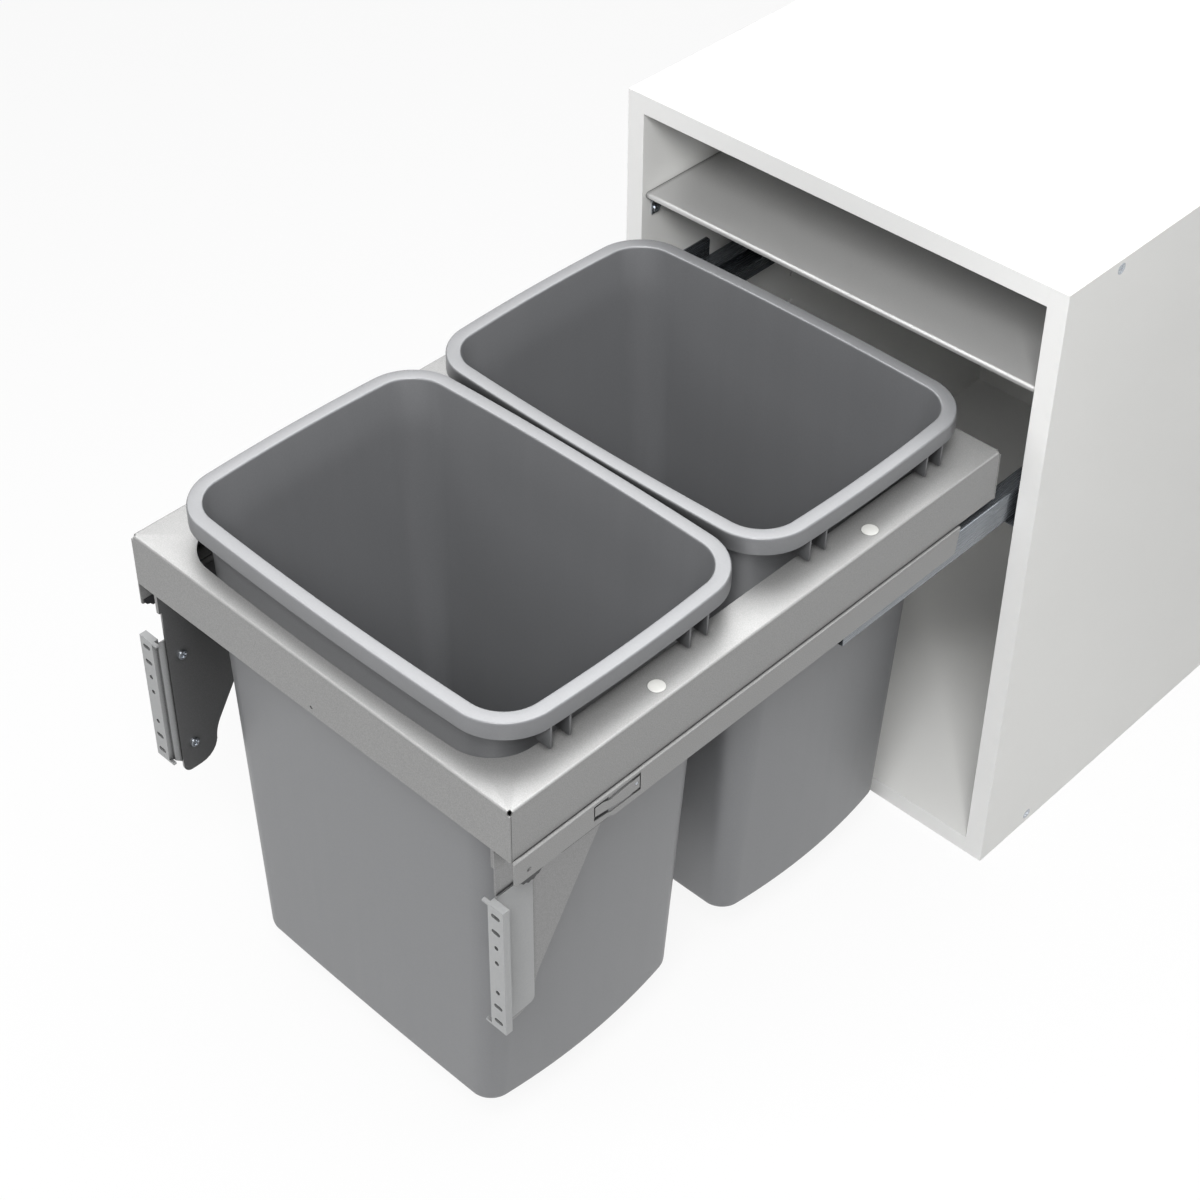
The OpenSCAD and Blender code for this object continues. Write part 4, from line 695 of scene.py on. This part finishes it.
# Painted shade: the plastic goes darker in gaps narrower than 18 mm, under the rim and between the
# ribs
tone = painted_gap_shade(tree, tone, 18 * MM, 1.0)
gloss = add(tree, "ShaderNodeMapRange", None,
            {"Value": flow.outputs["Fac"], "To Min": 0.37, "To Max": 0.45})
relief = add(tree, "ShaderNodeBump", None,
             {"Height": grain.outputs["Fac"], "Strength": 0.10, "Distance": 0.0002})
resin = add(tree, "ShaderNodeBsdfPrincipled", None,
            {"Base Color": tone.outputs[2], "Metallic": 0.22, "Roughness": gloss.outputs[0],
             "Specular IOR Level": 0.7, "Normal": relief.outputs[0]})
add(tree, "ShaderNodeOutputMaterial", None, {"Surface": resin.outputs[0]})

WALL = 2.2                       # wall thickness of a bin
RIM_W, LEDGE_W = 12.0, 12.2      # rim from its outside to the wall's outside and inside
FOOT_W, FLOOR_W = 14.0, 18.0     # ring of the base outside and inside, round its flat middle
RIM_TOP, SKIRT_LOW, TRAY_TOP, BASE = 515.0, 499.5, 478.0, 70.0
# Half width, half depth, corner radius, side bow, front bow, middle y, height
BASE_RING = np.array([136.5, 106.0, 17.0, 9.5, 1.5, -6.0, BASE])
TRAY_RING = np.array([162.5, 113.5, 32.0, 4.5, 4.5, -1.0, TRAY_TOP])
RIM_RING = np.array([179.0, 125.5, 41.0, 4.5, 4.5, 0.0, RIM_TOP])
INWARD = np.array([1.0, 1.0, 1.0, 0.0, 0.0, 0.0, 0.0])
UP = np.array([0.0, 0.0, 0.0, 0.0, 0.0, 0.0, 1.0])
SKIRT = RIM_TOP - SKIRT_LOW


def rounded_profile(keys, steps=5):
    """Rings along a profile that turns at key rings. Each key is a ring and the length over
    which it rounds: the corner becomes the quadratic curve from a point that far before it,
    through its pull, to a point that far after it."""
    rows = [keys[0][0]]
    for (before, _), (key, reach), (after, _) in zip(keys, keys[1:], keys[2:]):
        start = key + (before - key) * min(reach / np.linalg.norm(before - key), 0.5)
        end = key + (after - key) * min(reach / np.linalg.norm(after - key), 0.5)
        t = np.linspace(0.0, 1.0, steps + 1)[:, None]
        rows += list((1 - t) ** 2 * start + 2 * t * (1 - t) * key + t ** 2 * end)
    rows.append(keys[-1][0])
    return np.array(rows)


inner_tray = TRAY_RING - INWARD * WALL
inner_base = BASE_RING - INWARD * WALL + UP * WALL
profile = rounded_profile([
    (BASE_RING - INWARD * FOOT_W, 0), (BASE_RING, 6.0), (TRAY_RING, 12.0),
    (RIM_RING - INWARD * (RIM_W - WALL) - UP * WALL, 1.5),
    (RIM_RING - INWARD * WALL - UP * WALL, 1.2),
    (RIM_RING - INWARD * WALL - UP * SKIRT, 0.7), (RIM_RING - UP * SKIRT, 0.7),
    (RIM_RING, 2.4), (RIM_RING - INWARD * LEDGE_W, 2.0), (inner_tray, 12.0),
    (inner_base, 9.0), (inner_base - INWARD * FLOOR_W, 0)])
BIN_ARC, BIN_SIDE = 16, 16
rings = ring(profile[:, :6], BIN_ARC, BIN_SIDE)
heights = np.broadcast_to(profile[:, 6:, None], rings.shape[:2] + (1,))
shell = np.concatenate([rings, heights], axis=2)
rows, columns = shell.shape[:2]
shell_faces = [list(f) for f in grid_faces(rows, columns, True)]
shell_faces.append(list(range(columns))[::-1])
shell_faces.append(list(range((rows - 1) * columns, rows * columns)))

# Ribs stand in pairs: spread is the distance between the middles of the two pairs on a side, and
# lap is how far a rib runs into the skirt and the rim
RIB = dict(thick=1.8, tip=180.0, lean=0.6, lap=0.5, pair=18.5, spread=139.0, middle=-3.5)


def half_width(size, y):
    """Half width of a ring at a place along it: its half width plus bow * (1 - (y / half)^2)."""
    return size[0] + size[3] * (1 - ((y - size[5]) / size[1]) ** 2)


def rib_points(y):
    """Corners of the two faces of one rib at a place along the bin: its root follows the wall's
    middle and its top fills the rim behind the skirt."""
    low = half_width(TRAY_RING, y) - WALL / 2
    high = half_width(RIM_RING - INWARD * RIM_W, y) + WALL / 2
    skirt = half_width(RIM_RING - INWARD * WALL, y) + RIB["lap"]
    rim_low = RIM_TOP - WALL + RIB["lap"]
    xz = [(low, TRAY_TOP), (RIB["tip"], TRAY_TOP), (RIB["tip"] + RIB["lean"], SKIRT_LOW),
          (skirt, SKIRT_LOW), (skirt, rim_low), (high, rim_low)]
    near, far = y - RIB["thick"] / 2, y + RIB["thick"] / 2
    return np.array([(x, side, z) for side in (near, far) for x, z in xz])


rib_faces = [[0, 1, 2, 3, 4, 5], [11, 10, 9, 8, 7, 6]] + [
    [(k + 1) % 6, k, k + 6, (k + 1) % 6 + 6] for k in range(6)]
bin_parts = [(shell.reshape(-1, 3), shell_faces)]
rib_places = [RIB["middle"] + p * RIB["spread"] / 2 + q * RIB["pair"] / 2
              for p in (-1, 1) for q in (-1, 1)]
for hand in (1, -1):
    for y in rib_places:
        bin_parts.append((rib_points(y) * (hand, 1, 1), [f[::hand] for f in rib_faces]))
for node, place, hand in (("front_bin", -722.0, 1), ("rear_bin", -459.0, -1)):
    moved = [(points * (hand, hand, 1) + (0, place, 0), faces) for points, faces in bin_parts]
    stand_in(gathered(node + "_shape", moved), node, polypropylene)
